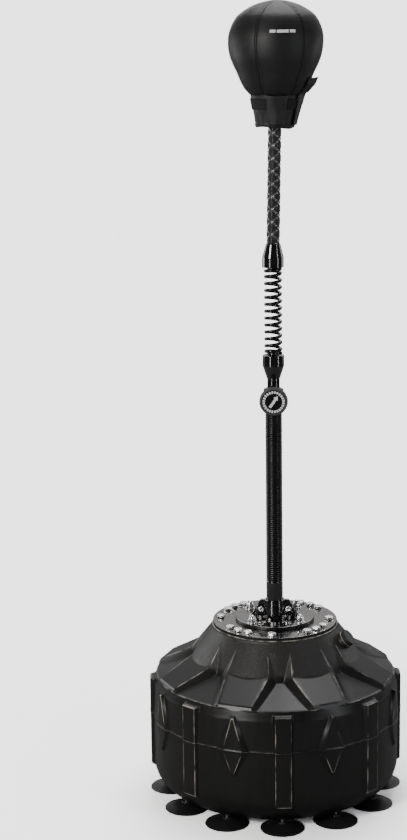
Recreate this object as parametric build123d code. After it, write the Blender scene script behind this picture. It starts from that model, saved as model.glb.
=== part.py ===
from build123d import *
import os
from math import cos, radians, sin, tan

# Free-standing reflex speed bag. Millimetres, +Z up. The origin is on the floor, on the pole's axis.
# The front is -Y. An azimuth is counted from the front (-Y) towards the right (+X), in degrees.

# ---- driving dimensions -------------------------------------------------------------------
BASE_TURN = 3.4              # the base's moulded pattern is turned this far to the right
SECTORS = 8                  # the tank's pattern repeats eight times
BEYOND = 400.0               # reach of a cutter that is larger than the tank

# ballast tank
WALL = 5.0
TANK_FOOT_Z = 14.0           # underside of the tank, held off the floor by the suction cups
TANK_WALL_R = 258.5
FOOT_ROUND_R = 57.0          # big rounding between underside and wall
WAIST_Z = 176.0              # joint between the two shells
BROW_R = 256.5               # top of the wall
BROW_Z = 240.0
EDGE_R = 250.0               # outer edge of the shoulder
EDGE_Z = 259.0
RIM_R = 132.0                # flat top that carries the plate
RIM_Z = 366.0
RIM_BAND = 5.0               # smooth upright band below the rim
CONE_FOOT_R = 181.0          # where the steep cone turns into the shoulder, on a raised pad
CONE_FOOT_Z = 300.0
PAD_END_R = 241.0
PAD_END_Z = 268.0
CHANNEL_TOP_R = 139.9        # a channel's floor line starts just outside the cone
CHANNEL_TOP_Z = 354.9
CHANNEL_KNEE_R = 172.0
CHANNEL_KNEE_Z = 291.0
CHANNEL_END_R = 270.0
CHANNEL_END_Z = 249.0
CHANNEL_HALF_TOP = 7.5       # half-angles of a channel between two pads
CHANNEL_HALF_KNEE = 5.6
CHANNEL_HALF_END = 13.6
RIB_HALF = 17.5              # upright ribs on the wall, half-width
RIB_R = 265.0
RIB_Z = (59.0, 251.0)
DIAMOND_HALF_W = 33.0        # raised diamonds between the ribs
DIAMOND_Z = (120.0, 251.0)
DIAMOND_R = 264.0
TOP_THICK = 8.0
SEAL_FLANGE = 14.0           # inward flange on each shell at the waist
SEAL_FLANGE_H = 6.0
SEAL_R = 248.0               # middle of the waist seal
SEAL_D = 5.0

# filler, on the cone of the second pad to the right of the front
FILLER_AZ = BASE_TURN + 67.5
FILLER_R = 152.0
FILLER_Z = 340.0
FILLER_TILT = 38.8           # how far the neck's axis rises from level
NECK_R = 18.0
NECK_BORE_R = 12.0
NECK_OUT = 6.0               # neck's height above the cone
NECK_IN = 10.0               # neck's depth below the cone
CAP_R = 17.0
CAP_H = 7.0
CAP_PLUG = 4.0               # how far the cap's plug reaches into the neck
CAP_NOTCHES = 16
CAP_NOTCH_R = 1.6
SEAL_H = 2.0

# suction cups
CUPS = 12
CUP_RING_R = 222.0
CUP_R = 45.0
CUP_LIP_W = 4.0
CUP_CROWN_H = 12.0
CUP_STEM_R = 9.0
BOSS_R = 10.0
BOSS_H = 16.0
CUP_STUD_R = 3.0

# plates on top of the tank
GASKET_T = 2.0
PLATE_R = 130.0
PLATE_T = 4.0
FLANGE_R = 82.5
FLANGE_T = 7.0
PLATE_Z = RIM_Z + GASKET_T
PLATE_TOP = PLATE_Z + PLATE_T
FLANGE_TOP = PLATE_TOP + FLANGE_T
BOLT_RING_R = 114.0
BOLT_R = 5.0                 # M10
BOLT_HOLE_R = 5.5
HEX_AF = 16.0
HEX_H = 6.4
TRIPLET_STEP = 12.7          # three bolts this far apart at each corner of the plate
SINGLE_SHIFT = -6.6          # the four single bolts stand this far back from the pattern's quarters
BOLT_LENGTH = 22.0
INSERT_R = 8.0
INSERT_H = 16.0
STUD_SQUARE = 49.5           # half-spacing of the flange plate's four studs
CAP_NUT_HEX_H = 8.0
CAP_NUT_DOME_R = 7.0
WASHER_R = 10.0
WASHER_T = 2.0
STUD_IN_NUT = 9.0            # thread length inside a cap nut

# split pole socket
SOCKET_R = 21.0
SOCKET_H = 35.0
SOCKET_GAP = 0.6             # half of the slit between the halves
EAR_T = 4.0
EAR_TOP = 29.4
EAR_FOOT = 50.0
CLAMP_X = 28.0
CLAMP_Z = 15.0               # above the flange plate
CLAMP_R = 4.0
CLAMP_HEAD_R = 6.8
CLAMP_HEAD_H = 5.0
CLAMP_NUT_AF = 13.0
CLAMP_NUT_H = 6.5
GUSSET_T = 4.0
GUSSET_OUT = 50.0
GUSSET_H = 25.0
SOCKET_FOOT_R = 36.0         # the foot ring round the pole
SOCKET_FOOT_T = 4.0
FOOT_SCREW_RING_R = 31.0
FOOT_SCREW_AZ = (-38, 38, 142, 218)
FOOT_SCREW_R = 2.5
FOOT_SCREW_HEAD_R = 4.6
FOOT_SCREW_HEAD_H = 2.6

# pole
OUTER_R = 17.25
OUTER_NECK_R = 16.4          # under the ribbed sleeve
OUTER_BORE_R = 14.65
SLEEVE_Z = (455.0, 822.0)
COLLAR_R = 20.5              # guide collar at the outer tube's top
COLLAR_Z = (822.0, 865.0)
OUTER_TOP_Z = 858.0
GUIDE_Z = 800.0
INNER_R = 12.7
INNER_BORE_R = 10.95
INNER_Z = (460.0, 922.0)
FIT = 0.05                   # radial clearance of running fits

# clamp knob
KNOB_Z = 845.0
KNOB_R = 29.3
KNOB_Y = (-46.0, -31.0)
KNOB_NOTCHES = 30
LABEL_R = 23.8
BOSS_Y = -29.5
KNOB_BOSS_R = 11.0
SCREW_R = 5.0
SHOE_TIP_Y = -13.0
SHOE_R = 4.0

# spring and its collars
SPRING_COLLAR_R = 22.0
LOWER_COLLAR_Z = (886.0, 912.0, 934.0)
UPPER_COLLAR_Z = (1114.0, 1134.0, 1161.6)
SPRING_OD = 37.0
SPRING_WIRE = 6.0
SPRING_TURNS = 13
PLUG_R = 12.2
PLUG_OUT = 9.0

# rod and grip
ROD_R = 8.0
ROD_Z = (1128.0, 1486.0)
GRIP_R = 13.6
GRIP_Z = (1161.6, 1462.0)

# ball
BALL_WALL = 3.0
BLADDER_T = 2.0
BLADDER_Z = 1489.0            # the bladder's flat foot, above the rod's end
BALL_PROFILE = [              # outer radius and height, from the seam with the neck to the crown
    (52.9, 1458.0), (62.0, 1470.0), (71.0, 1485.5), (78.0, 1501.0), (85.6, 1516.6), (92.0, 1532.0),
    (95.1, 1556.0), (93.3, 1578.0), (83.5, 1601.5), (69.4, 1617.0), (39.5, 1633.0), (0.0, 1640.5),
]
NECK_FOOT_R = 37.0
NECK_FOOT_Z = 1394.0
NECK_TOP_R = 50.8
NECK_WALL = 2.5
DISC_R = 42.0
DISC_Z = (1462.0, 1468.0)
BALL_NUT_AF = 24.0
BALL_NUT_H = 12.0
STRAP_Z = (1429.0, 1450.0)
STRAP_T = 1.5
FLAP_HALF = 21.0             # half-angle of the closure flap on the right of the neck
FLAP_T = 1.6
FLAP_FOOT = 6.0              # the flap starts this far above the neck's foot


# ---- helpers ------------------------------------------------------------------------------
def lathe(points):
    """A solid turned about Z from radius and height points."""
    return revolve(Plane.XZ * make_face(Polyline(*points, close=True)), Axis.Z)


def tube(r_out, r_in, z0, z1):
    """An upright round tube or, with no bore, a bar."""
    body = Pos(0, 0, z0) * extrude(Circle(r_out), z1 - z0)
    if r_in > 0:
        body -= Pos(0, 0, z0) * extrude(Circle(r_in), z1 - z0)
    return body


def hexagon(across_flats, height, z0):
    """An upright hexagonal bar with its ends chamfered, as on a bolt head."""
    corner_r = across_flats / 2 / cos(radians(30))
    bar = Pos(0, 0, z0) * extrude(RegularPolygon(corner_r, 6), height)
    crown = lathe([(0, z0), (corner_r, z0), (corner_r, z0 + height - 1), (across_flats / 2 - 0.6, z0 + height),
                   (0, z0 + height)])
    return bar & crown


def place(radius, azimuth, z=0.0):
    """A place at a radius and azimuth, with the local -Y pointing outwards."""
    return Rot(0, 0, azimuth) * Pos(0, -radius, z)


def along_y(shape, x, z, y0):
    """An upright shape laid along +Y, starting at y0."""
    return Pos(x, y0, z) * Rot(-90, 0, 0) * shape


def solids(*shapes):
    """One shape that holds separate solids."""
    found = []
    for shape in shapes:
        found.extend(shape.solids())
    return Compound(children=found)


def around(shape, count, turn=0.0):
    """The same shape, repeated around Z."""
    return [Rot(0, 0, turn + 360 / count * i) * shape for i in range(count)]


def save(shape, name):
    """Write one node."""
    export_step(shape, f"parts/{name}.step")


# ---- tank ---------------------------------------------------------------------------------
def half_angle_point(radius, half_angle):
    """A point in plan on the right edge of a channel that is centred on the front."""
    return (radius * sin(radians(half_angle)), -radius * cos(radians(half_angle)))


def channel_plan():
    """The plan of one channel, from above the cone to outside the wall."""
    right = [
        half_angle_point(RIM_R - 4, CHANNEL_HALF_TOP),
        half_angle_point(CONE_FOOT_R, CHANNEL_HALF_KNEE),
        half_angle_point(CHANNEL_END_R, CHANNEL_HALF_END),
    ]
    left = [(-x, y) for x, y in reversed(right)]
    return make_face(Polyline(*right, *left, close=True))


def tank_body():
    """The tank's outer form with the cone and shoulder at the height of the raised pads, as one solid."""
    foot_c = TANK_WALL_R - FOOT_ROUND_R
    mid = FOOT_ROUND_R * (1 - cos(radians(45)))
    outline = [
        Line((0, TANK_FOOT_Z), (foot_c, TANK_FOOT_Z)),
        ThreePointArc((foot_c, TANK_FOOT_Z), (TANK_WALL_R - mid, TANK_FOOT_Z + mid),
                      (TANK_WALL_R, TANK_FOOT_Z + FOOT_ROUND_R)),
        Polyline((TANK_WALL_R, TANK_FOOT_Z + FOOT_ROUND_R), (TANK_WALL_R, WAIST_Z), (BROW_R, BROW_Z),
                 (EDGE_R, EDGE_Z), (PAD_END_R + 2.5, EDGE_Z + 2.7), (PAD_END_R, PAD_END_Z),
                 (CONE_FOOT_R, CONE_FOOT_Z), (RIM_R, RIM_Z - RIM_BAND), (RIM_R, RIM_Z), (0, RIM_Z),
                 (0, TANK_FOOT_Z)),
    ]
    return revolve(Plane.XZ * make_face(Curve() + outline), Axis.Z)


def tank_hollow():
    """The ballast space."""
    foot_r = FOOT_ROUND_R - WALL
    foot_c = TANK_WALL_R - FOOT_ROUND_R
    mid = foot_r * (1 - cos(radians(45)))
    low = TANK_FOOT_Z + WALL
    wall_r = TANK_WALL_R - WALL
    outline = [
        Line((0, low), (foot_c, low)),
        ThreePointArc((foot_c, low), (wall_r - mid, low + mid), (wall_r, low + foot_r)),
        Polyline((wall_r, low + foot_r), (wall_r, WAIST_Z - SEAL_FLANGE_H),
                 (wall_r - SEAL_FLANGE, WAIST_Z - SEAL_FLANGE_H), (wall_r - SEAL_FLANGE, WAIST_Z + SEAL_FLANGE_H),
                 (wall_r - 0.5, WAIST_Z + SEAL_FLANGE_H), (BROW_R - WALL, BROW_Z - 2),
                 (EDGE_R - WALL, EDGE_Z - WALL), (CHANNEL_KNEE_R - WALL, CHANNEL_KNEE_Z - WALL),
                 (RIM_R - 2, RIM_Z - TOP_THICK - 22), (RIM_R - WALL - 6, RIM_Z - TOP_THICK),
                 (0, RIM_Z - TOP_THICK), (0, low)),
    ]
    return revolve(Plane.XZ * make_face(Curve() + outline), Axis.Z)


def channels():
    """The eight channels between the raised pads, as cutters."""
    above = lathe([
        (CHANNEL_TOP_R, CHANNEL_TOP_Z), (CHANNEL_KNEE_R, CHANNEL_KNEE_Z), (CHANNEL_END_R, CHANNEL_END_Z),
        (CHANNEL_END_R, CONE_FOOT_Z), (CONE_FOOT_R + 20, CONE_FOOT_Z + 20), (RIM_R + 20, RIM_Z),
    ])
    prism = extrude(channel_plan(), RIM_Z + 20)
    return [above & cut for cut in around(prism, SECTORS, BASE_TURN)]


def ribs():
    """Eight upright ribs on the wall, in line with the channels."""
    z0, z1 = RIB_Z
    ring = tube(RIB_R, TANK_WALL_R - 8, z0, z1)
    bar = Pos(0, -RIB_R, (z0 + z1) / 2) * Box(2 * RIB_HALF, 40, z1 - z0)
    return [ring & cut for cut in around(bar, SECTORS, BASE_TURN)]


def diamonds():
    """Eight raised diamonds on the wall, between the ribs, widest at the waist."""
    z0, z1 = DIAMOND_Z
    ring = tube(DIAMOND_R, TANK_WALL_R - 8, z0 - 1, z1 + 1)
    plan = make_face(Polyline((0, z0), (DIAMOND_HALF_W, WAIST_Z), (0, z1), (-DIAMOND_HALF_W, WAIST_Z), close=True))
    prism = extrude(Plane.XZ * plan, DIAMOND_R + 20)
    return [ring & cut for cut in around(prism, SECTORS, BASE_TURN + 180 / SECTORS)]


def filler_frame():
    """The frame of the filler neck: its local Z points out along the neck."""
    return Rot(0, 0, FILLER_AZ) * Pos(0, -FILLER_R, FILLER_Z) * Rot(90 - FILLER_TILT, 0, 0)


def cup_places():
    """The places of the suction cups' axes."""
    return [place(CUP_RING_R, BASE_TURN + 360 / CUPS * i) for i in range(CUPS)]


def ring_bolt_azimuths():
    """Three bolts at each corner of the plate and one between the corners."""
    found = []
    for quarter in range(4):
        middle = BASE_TURN + 45 + 90 * quarter
        found += [middle - TRIPLET_STEP, middle, middle + TRIPLET_STEP]
        found.append(BASE_TURN + SINGLE_SHIFT + 90 * quarter)
    return found


def stud_places():
    """The four studs of the flange plate, on a square."""
    corner = STUD_SQUARE * 2 ** 0.5
    return [place(corner, BASE_TURN + 45 + 90 * i) for i in range(4)]


def insert_places():
    """Every threaded insert in the tank's top."""
    return [place(BOLT_RING_R, a) for a in ring_bolt_azimuths()] + stud_places()


def make_tank():
    """Both shells of the tank."""
    outer = tank_body() - channels()
    outer += ribs() + diamonds()
    outer -= tank_hollow()
    frame = filler_frame()
    neck = frame * (Pos(0, 0, -NECK_IN) * extrude(Circle(NECK_R), NECK_IN + NECK_OUT))
    outer += neck
    outer -= frame * (Pos(0, 0, -NECK_IN - 30) * extrude(Circle(NECK_BORE_R), NECK_IN + NECK_OUT + 40))
    insert_foot = RIM_Z - INSERT_H
    spots = insert_places()
    outer += [spot * tube(INSERT_R + 3, 0, insert_foot - 3, RIM_Z - TOP_THICK + 1) for spot in spots]
    outer -= [spot * tube(INSERT_R, 0, insert_foot, RIM_Z + 1) for spot in spots]
    cups = cup_places()
    outer += [spot * tube(BOSS_R, 0, TANK_FOOT_Z + 1, TANK_FOOT_Z + BOSS_H) for spot in cups]
    outer -= [spot * tube(CUP_STUD_R, 0, TANK_FOOT_Z - 1, TANK_FOOT_Z + BOSS_H - 4) for spot in cups]
    groove = Pos(0, 0, WAIST_Z) * Torus(SEAL_R, SEAL_D / 2)
    outer -= groove
    upper = outer & tube(BEYOND, 0, WAIST_Z, WAIST_Z + BEYOND)
    lower = outer & tube(BEYOND, 0, WAIST_Z - BEYOND, WAIST_Z)
    return upper, lower, groove


def make_filler():
    """The filler's screw cap, with its plug, and the ring that seals it."""
    frame = filler_frame()
    low = NECK_OUT
    seal = Pos(0, 0, low) * (extrude(Circle(NECK_R - 1.5), SEAL_H) - extrude(Circle(NECK_BORE_R + 0.5), SEAL_H))
    cap = Pos(0, 0, low + SEAL_H) * extrude(Circle(CAP_R), CAP_H)
    cap += Pos(0, 0, low - CAP_PLUG) * extrude(Circle(NECK_BORE_R - 0.3), CAP_PLUG + SEAL_H)
    notch = Pos(CAP_R + 0.6, 0, low + SEAL_H + CAP_H / 2) * Cylinder(CAP_NOTCH_R, CAP_H)
    cap -= around(notch, CAP_NOTCHES)
    return frame * cap, frame * seal


# ---- suction cups -------------------------------------------------------------------------
def make_cup():
    """One suction cup: a shallow dish with a flat lip and a short stem, its axis on Z."""
    cup = lathe([
        (0, CUP_CROWN_H - 4.5), (12, CUP_CROWN_H - 5), (CUP_R - CUP_LIP_W, 0), (CUP_R, 0), (CUP_R, 1.6),
        (16, CUP_CROWN_H - 1), (CUP_STEM_R, CUP_CROWN_H), (CUP_STEM_R, TANK_FOOT_Z), (0, TANK_FOOT_Z),
    ])
    return cup - tube(CUP_STUD_R, 0, CUP_CROWN_H - 2.5, TANK_FOOT_Z)


def make_cup_studs():
    """The threaded studs that join the cups to the tank."""
    stud = tube(CUP_STUD_R, 0, CUP_CROWN_H - 2.5, TANK_FOOT_Z + BOSS_H - 4.5)
    return solids(*[spot * stud for spot in cup_places()])


# ---- plates and fasteners -----------------------------------------------------------------
def make_plates():
    """The gasket, the mounting plate and the smaller flange plate."""
    gasket = tube(PLATE_R - 1, 0, RIM_Z, PLATE_Z)
    plate = tube(PLATE_R, 0, PLATE_Z, PLATE_TOP)
    flange = tube(FLANGE_R, 0, PLATE_TOP, FLANGE_TOP)
    flange = chamfer(flange.edges().group_by(Axis.Z)[-1], 0.8)
    for azimuth in ring_bolt_azimuths():
        hole = place(BOLT_RING_R, azimuth) * tube(BOLT_HOLE_R, 0, RIM_Z, PLATE_TOP)
        gasket -= hole
        plate -= hole
    for spot in stud_places():
        hole = spot * tube(BOLT_HOLE_R, 0, RIM_Z, FLANGE_TOP)
        gasket -= hole
        plate -= hole
        flange -= hole
    for spot in foot_screw_places():
        flange -= spot * tube(FOOT_SCREW_R, 0, FLANGE_TOP - 6, FLANGE_TOP)
    return gasket, plate, flange


def make_plate_bolts():
    """Hexagon bolts around the mounting plate."""
    bolt = hexagon(HEX_AF, HEX_H, PLATE_TOP) + tube(BOLT_R, 0, PLATE_TOP - BOLT_LENGTH, PLATE_TOP)
    return solids(*[place(BOLT_RING_R, a) * bolt for a in ring_bolt_azimuths()])


def make_inserts():
    """Threaded inserts moulded into the tank's top."""
    sleeve = tube(INSERT_R, BOLT_R, RIM_Z - INSERT_H, RIM_Z)
    return solids(*[spot * sleeve for spot in insert_places()])


def make_flange_studs():
    """Studs, washers and cap nuts that hold the flange plate."""
    nut_z = FLANGE_TOP + WASHER_T
    dome_z = nut_z + CAP_NUT_HEX_H + 1
    stud = tube(BOLT_R, 0, PLATE_TOP - BOLT_LENGTH, nut_z + STUD_IN_NUT)
    washer = tube(WASHER_R, BOLT_R, FLANGE_TOP, nut_z)
    nut = hexagon(HEX_AF, CAP_NUT_HEX_H, nut_z)
    nut += tube(CAP_NUT_DOME_R, 0, nut_z, dome_z)
    nut += Pos(0, 0, dome_z) * Sphere(CAP_NUT_DOME_R)
    nut -= tube(BOLT_R, 0, nut_z - 1, nut_z + STUD_IN_NUT)
    spots = stud_places()
    return (
        solids(*[spot * stud for spot in spots]),
        solids(*[spot * washer for spot in spots]),
        solids(*[spot * nut for spot in spots]),
    )


# ---- pole socket --------------------------------------------------------------------------
def foot_screw_places():
    """Four small screws through the socket's foot ring."""
    return [place(FOOT_SCREW_RING_R, azimuth) for azimuth in FOOT_SCREW_AZ]


def make_socket_half():
    """The front half of the split socket: shell, foot ring, two ears and a gusset."""
    z0 = FLANGE_TOP
    shell = tube(SOCKET_R, OUTER_R, z0, z0 + SOCKET_H)
    foot = tube(SOCKET_FOOT_R, OUTER_R, z0, z0 + SOCKET_FOOT_T)
    ear = make_face(Polyline((EAR_FOOT, z0), (EAR_TOP, z0 + SOCKET_H), (-EAR_TOP, z0 + SOCKET_H), (-EAR_FOOT, z0),
                             close=True))
    ears = Pos(0, -SOCKET_GAP, 0) * extrude(Plane.XZ * ear, EAR_T) - tube(OUTER_R, 0, z0, z0 + SOCKET_H)
    side = make_face(Polyline((-SOCKET_R + 1, z0), (-GUSSET_OUT, z0), (-SOCKET_R - 3, z0 + GUSSET_H),
                              (-SOCKET_R + 1, z0 + GUSSET_H + 3), close=True))
    gusset = extrude(Plane.YZ * side, GUSSET_T / 2, both=True)
    half = (shell + foot) & Pos(0, -50 - SOCKET_GAP, z0 + 30) * Box(200, 100, 100)
    half = half + ears + gusset
    for x in (-CLAMP_X, CLAMP_X):
        half -= along_y(extrude(Circle(CLAMP_R + 0.3), 20), x, z0 + CLAMP_Z, -15)
    for spot in foot_screw_places()[:2]:
        half -= spot * tube(FOOT_SCREW_R + 0.3, 0, z0, z0 + 10)
    return half


def make_clamp_bolts():
    """Two round-headed bolts through the ears, with their nuts behind."""
    z = FLANGE_TOP + CLAMP_Z
    face = SOCKET_GAP + EAR_T
    bolt = extrude(Circle(CLAMP_HEAD_R), CLAMP_HEAD_H)
    bolt = fillet(bolt.edges().group_by(Axis.Z)[0], 1.8)
    bolt += extrude(Circle(CLAMP_R), CLAMP_HEAD_H + 2 * face + 9)
    nut = hexagon(CLAMP_NUT_AF, CLAMP_NUT_H, 0) - extrude(Circle(CLAMP_R), 10)
    bolts = [along_y(bolt, x, z, -face - CLAMP_HEAD_H) for x in (-CLAMP_X, CLAMP_X)]
    nuts = [along_y(nut, x, z, face) for x in (-CLAMP_X, CLAMP_X)]
    return solids(*bolts), solids(*nuts)


def make_foot_screws():
    """Small button-head screws in the socket's foot."""
    z = FLANGE_TOP + SOCKET_FOOT_T
    screw = tube(FOOT_SCREW_HEAD_R, 0, z, z + FOOT_SCREW_HEAD_H) + tube(FOOT_SCREW_R, 0, z - 10, z)
    return solids(*[spot * screw for spot in foot_screw_places()])


# ---- pole ---------------------------------------------------------------------------------
def screw_path(radius, y0, y1):
    """A bar along Y on the clamp knob's axis."""
    return along_y(extrude(Circle(radius), y1 - y0), 0, KNOB_Z, y0)


def make_pole():
    """The outer tube, its ribbed sleeve, the guide collar, and the knob's threaded boss."""
    outer = lathe([
        (OUTER_BORE_R, FLANGE_TOP), (OUTER_R, FLANGE_TOP), (OUTER_R, SLEEVE_Z[0]), (OUTER_NECK_R, SLEEVE_Z[0]),
        (OUTER_NECK_R, OUTER_TOP_Z), (OUTER_BORE_R, OUTER_TOP_Z),
    ])
    outer -= screw_path(SCREW_R + 0.5, -30, 0)
    sleeve = tube(OUTER_R, OUTER_NECK_R, *SLEEVE_Z)
    bore = INNER_R + FIT
    collar = lathe([
        (OUTER_NECK_R, COLLAR_Z[0]), (COLLAR_R - 1, COLLAR_Z[0]), (COLLAR_R, COLLAR_Z[0] + 1),
        (COLLAR_R, COLLAR_Z[1] - 2.5), (COLLAR_R - 2.5, COLLAR_Z[1]), (bore, COLLAR_Z[1]), (bore, GUIDE_Z),
        (OUTER_BORE_R, GUIDE_Z), (OUTER_BORE_R, OUTER_TOP_Z), (OUTER_NECK_R, OUTER_TOP_Z),
    ])
    collar -= screw_path(SCREW_R + 0.5, -30, 0)
    boss = screw_path(KNOB_BOSS_R, BOSS_Y, -10) - tube(COLLAR_R, 0, COLLAR_Z[0], COLLAR_Z[1])
    boss -= screw_path(SCREW_R + FIT, -40, 0)
    return outer, sleeve, collar, boss


def make_knob():
    """The clamp knob: lobed body, face disc, screw, and the shoe that presses on the inner tube."""
    y0, y1 = KNOB_Y
    body = lathe([(0, 0), (KNOB_R - 3, 0), (KNOB_R, 3), (KNOB_R, y1 - y0 - 2), (KNOB_R - 2, y1 - y0), (0, y1 - y0)])
    body -= around(Pos(KNOB_R + 1.1, 0, 8) * Cylinder(1.7, 22), KNOB_NOTCHES)
    body -= extrude(Circle(LABEL_R + 0.2), 1.5)
    body -= Pos(0, 0, 4) * extrude(Circle(SCREW_R), 20)
    face = extrude(Circle(LABEL_R), 1.2)
    knob = along_y(body, 0, KNOB_Z, y0)
    label = along_y(face, 0, KNOB_Z, y0 + 0.3)
    screw = screw_path(SCREW_R, y0 + 4, SHOE_TIP_Y - 4)
    shoe = screw_path(SHOE_R, SHOE_TIP_Y - 4, SHOE_TIP_Y)
    return knob, label, screw, shoe


def make_inner_tube():
    """The sliding inner tube and the glide plug in its lower end."""
    inner = tube(INNER_R, INNER_BORE_R, *INNER_Z)
    z = INNER_Z[0]
    glide = lathe([
        (0, z - 6), (OUTER_BORE_R - 0.1, z - 6), (OUTER_BORE_R - 0.1, z), (INNER_BORE_R, z), (INNER_BORE_R, z + 25),
        (0, z + 25),
    ])
    return inner, glide


# ---- spring -------------------------------------------------------------------------------
def make_spring():
    """The coil spring that lets the ball swing."""
    z0 = LOWER_COLLAR_Z[2] + SPRING_WIRE / 2
    z1 = UPPER_COLLAR_Z[0] - SPRING_WIRE / 2
    radius = (SPRING_OD - SPRING_WIRE) / 2
    pitch = (z1 - z0) / SPRING_TURNS
    path = Pos(0, 0, z0) * Helix(pitch, z1 - z0, radius)
    section = Plane(path @ 0, z_dir=path % 0) * Circle(SPRING_WIRE / 2)
    return sweep(section, path=path, is_frenet=True)


def make_spring_ends():
    """Both spring collars and the plugs that centre the spring on them."""
    z0, z1, z2 = LOWER_COLLAR_Z
    lower = lathe([
        (INNER_R, z0), (INNER_R + 0.8, z0), (SPRING_COLLAR_R, z1), (SPRING_COLLAR_R, z2 - 1),
        (SPRING_COLLAR_R - 1, z2), (PLUG_R - 4, z2), (PLUG_R - 4, INNER_Z[1]), (INNER_R, INNER_Z[1]),
    ])
    lower_plug = tube(PLUG_R - 4, 0, INNER_Z[1], z2) + tube(PLUG_R, 0, z2, z2 + PLUG_OUT)
    lower_plug += tube(INNER_BORE_R, 0, INNER_Z[1] - 20, INNER_Z[1])
    u0, u1, u2 = UPPER_COLLAR_Z
    upper = lathe([
        (PLUG_R - 4, u0), (SPRING_COLLAR_R - 1, u0), (SPRING_COLLAR_R, u0 + 1), (SPRING_COLLAR_R, u1),
        (GRIP_R + 0.8, u2), (ROD_R, u2), (ROD_R, ROD_Z[0]), (PLUG_R - 4, ROD_Z[0]),
    ])
    upper_plug = tube(PLUG_R - 4, 0, u0, ROD_Z[0]) + tube(PLUG_R, 0, u0 - PLUG_OUT, u0)
    return lower, lower_plug, upper, upper_plug


# ---- rod and ball -------------------------------------------------------------------------
def make_rod():
    """The rod's core and the soft lattice grip over it."""
    return tube(ROD_R, 0, *ROD_Z), tube(GRIP_R, ROD_R, *GRIP_Z)


def ball_form(inset):
    """The ball's outer form, drawn in towards its widest height by an inset at the side."""
    widest_r, widest_z = max(BALL_PROFILE)
    share = (widest_r - inset) / widest_r
    points = [(r * share, widest_z + (z - widest_z) * share) for r, z in BALL_PROFILE]
    (foot_r, foot_z), (_, crown_z) = points[0], points[-1]
    skin = Spline(*points, tangents=[(0.6, 0.8), (-1, 0)])
    rest = Polyline((0, crown_z), (0, foot_z), (foot_r, foot_z))
    return revolve(Plane.XZ * make_face(Curve() + [skin, rest]), Axis.Z)


def make_ball():
    """The sewn cover, the air bladder, and the disc and nut that hold the cover on the rod."""
    floor = BALL_PROFILE[0][1]
    cover = ball_form(0) - ball_form(BALL_WALL) - tube(DISC_R + 2, 0, floor - 5, floor + 8)
    bladder = ball_form(BALL_WALL + 0.4) - tube(BEYOND, 0, floor - 5, BLADDER_Z)
    bladder -= ball_form(BALL_WALL + 0.4 + BLADDER_T) - tube(BEYOND, 0, floor - 5, BLADDER_Z + BLADDER_T)
    disc = tube(DISC_R, ROD_R, *DISC_Z)
    nut = hexagon(BALL_NUT_AF, BALL_NUT_H, DISC_Z[1])
    nut -= tube(ROD_R, 0, DISC_Z[1] - 1, DISC_Z[1] + BALL_NUT_H + 1)
    return cover, bladder, disc, nut


def neck_radius(z):
    """Outer radius of the neck skirt at a height."""
    floor = BALL_PROFILE[0][1]
    share = (z - NECK_FOOT_Z) / (floor - NECK_FOOT_Z)
    return NECK_FOOT_R + (NECK_TOP_R - NECK_FOOT_R) * share


def neck_band(z0, z1, offset, thickness):
    """A conical band that lies on the neck skirt."""
    inner0 = neck_radius(z0) + offset
    inner1 = neck_radius(z1) + offset
    return lathe([(inner0, z0), (inner0 + thickness, z0), (inner1 + thickness, z1), (inner1, z1)])


def make_neck():
    """The skirt below the ball, the strap round it and the closure flap on its right."""
    floor = BALL_PROFILE[0][1]
    skirt = neck_band(NECK_FOOT_Z, floor, -NECK_WALL, NECK_WALL)
    strap = neck_band(*STRAP_Z, 0, STRAP_T)
    flap_ring = neck_band(NECK_FOOT_Z + FLAP_FOOT, floor - 2, STRAP_T + 0.3, FLAP_T)
    side = BEYOND * tan(radians(FLAP_HALF))
    plan = make_face(Polyline((0, 0), (BEYOND, -side), (BEYOND, side), close=True))
    wedge = Pos(0, 0, NECK_FOOT_Z) * extrude(plan, floor - NECK_FOOT_Z)
    return skirt, strap, flap_ring & wedge


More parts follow.
